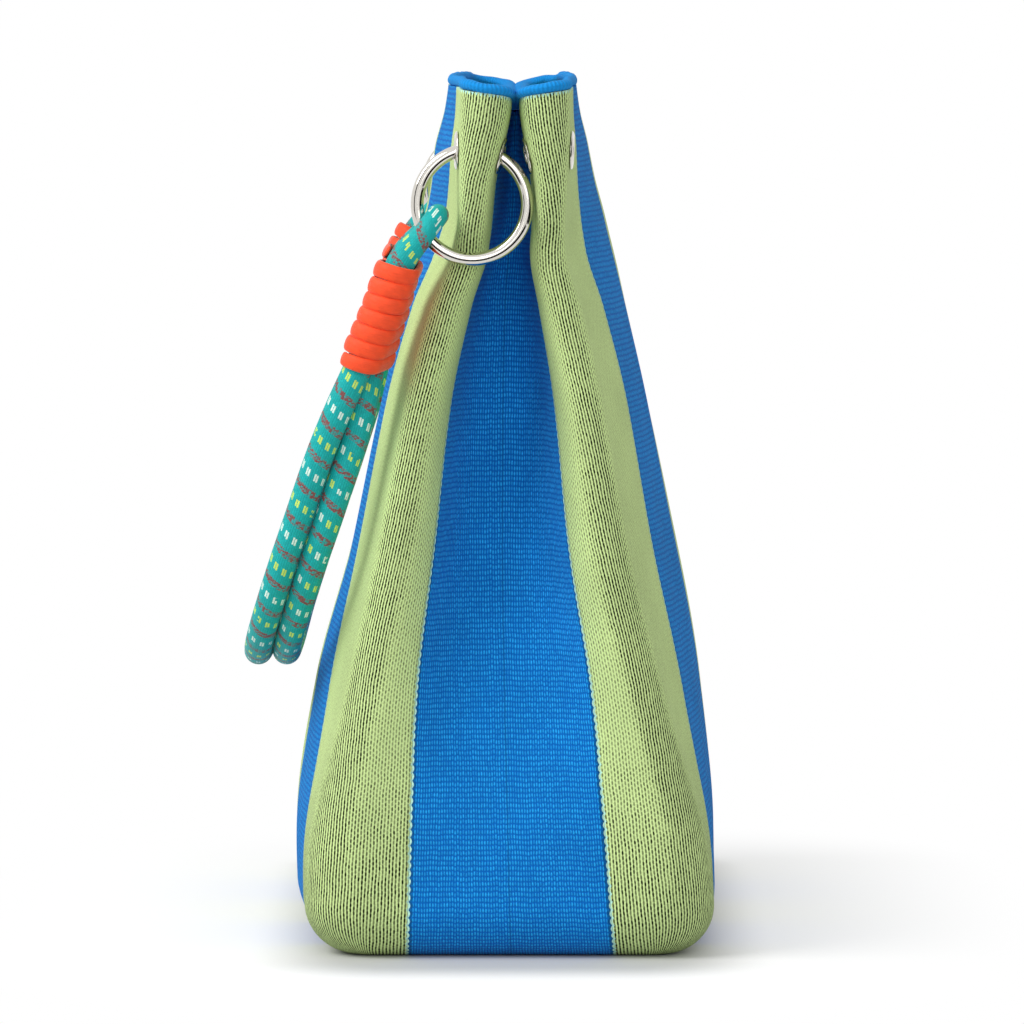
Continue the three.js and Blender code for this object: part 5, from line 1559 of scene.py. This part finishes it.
class MESH_OT_tote_handle(bpy.types.Operator):
    """Lay the doubled rope over both rings and whip it below them"""
    bl_idname = "mesh.tote_handle"
    bl_label = "Handle"

    def execute(self, context):
        handle, colours = context.scene.tote_handle, context.scene.tote_colours
        laid = HandleForm(tote_form(), handle)
        path, radius = laid.rope()
        heading = np.gradient(path, axis=0)
        heading /= np.linalg.norm(heading, axis=1, keepdims=True)
        across = np.zeros_like(path)
        way = np.cross(heading[0], (0, 0, 1))
        for i, direction in enumerate(heading):
            way = way - direction * (way @ direction)
            way /= np.linalg.norm(way)
            across[i] = way
        up = np.cross(heading, across)
        sides = 40
        mesh = tube_mesh("doubled_rope", path, across, up, radius, radius, sides, False)
        length = np.concatenate([[0], np.cumsum(np.linalg.norm(np.diff(path, axis=0), axis=1))])
        along = np.repeat(length[:, None], sides, 1)
        around = np.tile(2 * math.pi * (np.arange(sides) + 0.5) / sides, (len(path), 1))
        set_run(mesh, "rope_run", np.stack([along, np.cos(around), np.sin(around),
                                            0 * along + 1], -1))
        rope = new_object("doubled_rope", mesh, braided_polyester(colours))
        finish_piece(rope, "handle", "teal_rope", "handle_rope")
        cord_material = flat_braid_cord(colours)
        whippings = [self.whipping(laid, name, sign, cord_material)
                     for name, sign in (("whipping_right", 1), ("whipping_left", -1))]
        return {"FINISHED"}

    def whipping(self, laid, name, sign, material):
        """One tight winding of the flat cord, sign 1 on the right and -1 its mirror on the left."""
        handle = laid.handle
        steps = 64
        centres, outward, along = laid.winding(steps)
        flip = np.array([sign, 1, 1])
        count, sides = len(centres), 18
        # in their last quarter turn both ends are pulled thin under their neighbours
        thin, narrow = 0.45, 0.4
        from_end = np.minimum(np.arange(count), np.arange(count)[::-1]) / (steps / 4)
        taper = thin + (1 - thin) * np.clip(from_end, 0, 1) ** 0.7
        centres = centres - outward * (handle.cord_thickness / 2 * (1 - taper))[:, None]
        mesh = tube_mesh(f"cord_{name}", centres * flip, outward * flip, along * flip,
                         handle.cord_thickness / 2 * taper,
                         handle.whipping_pitch * handle.cord_swell / 2
                         * (narrow + (1 - narrow) * taper),
                         sides, False, roundness=0.85)
        if sign > 0:
            mesh.flip_normals()
        lengths = np.linalg.norm(np.diff(centres, axis=0), axis=1)
        length = np.concatenate([[0], np.cumsum(lengths)])
        girth = handle.cord_width + handle.cord_thickness
        run = np.stack([np.repeat(length[:, None], sides, 1),
                        np.tile(np.arange(sides) / sides * 2 * girth, (count, 1))], -1)
        set_run(mesh, "cord_run", np.concatenate([run, np.ones_like(run)], -1))
        piece = new_object(f"cord_{name}", mesh, material)
        return finish_piece(piece, "handle", "orange_cord", name)


OPERATORS = (
    MESH_OT_tote_stage, MESH_OT_tote_handle, MESH_OT_tote_body, MESH_OT_tote_base,
    MESH_OT_tote_rim, MESH_OT_tote_eyelets, MESH_OT_tote_rings,
)
GROUPS = {"tote_knit": ToteKnit, "tote_trim": ToteTrim, "tote_handle": ToteHandle,
          "tote_colours": ToteColours, "tote_stage": ToteStage}


class VIEW3D_PT_tote(bpy.types.Panel):
    """Pieces of the bag"""
    bl_idname = "VIEW3D_PT_tote"
    bl_label = "Knitted tote bag"
    bl_space_type = "VIEW_3D"
    bl_region_type = "UI"
    bl_category = "Tote bag"

    def draw(self, context):
        for operator in OPERATORS:
            self.layout.operator(operator.bl_idname)
        for name in GROUPS:
            group = getattr(context.scene, name)
            box = self.layout.box()
            for key in group.__annotations__:
                box.prop(group, key)


def register():
    for kind in (*GROUPS.values(), *OPERATORS, VIEW3D_PT_tote):
        bpy.utils.register_class(kind)
    for name, kind in GROUPS.items():
        setattr(bpy.types.Scene, name, PointerProperty(type=kind))


def unregister():
    for name in GROUPS:
        delattr(bpy.types.Scene, name)
    for kind in (VIEW3D_PT_tote, *reversed(OPERATORS), *reversed(GROUPS.values())):
        bpy.utils.unregister_class(kind)


def main():
    register()
    bpy.ops.mesh.tote_stage()
    bpy.ops.mesh.tote_handle()
    bpy.ops.mesh.tote_body()
    bpy.ops.mesh.tote_base()
    bpy.ops.mesh.tote_rim()
    bpy.ops.mesh.tote_eyelets()
    bpy.ops.mesh.tote_rings()


if __name__ == "__main__":
    main()
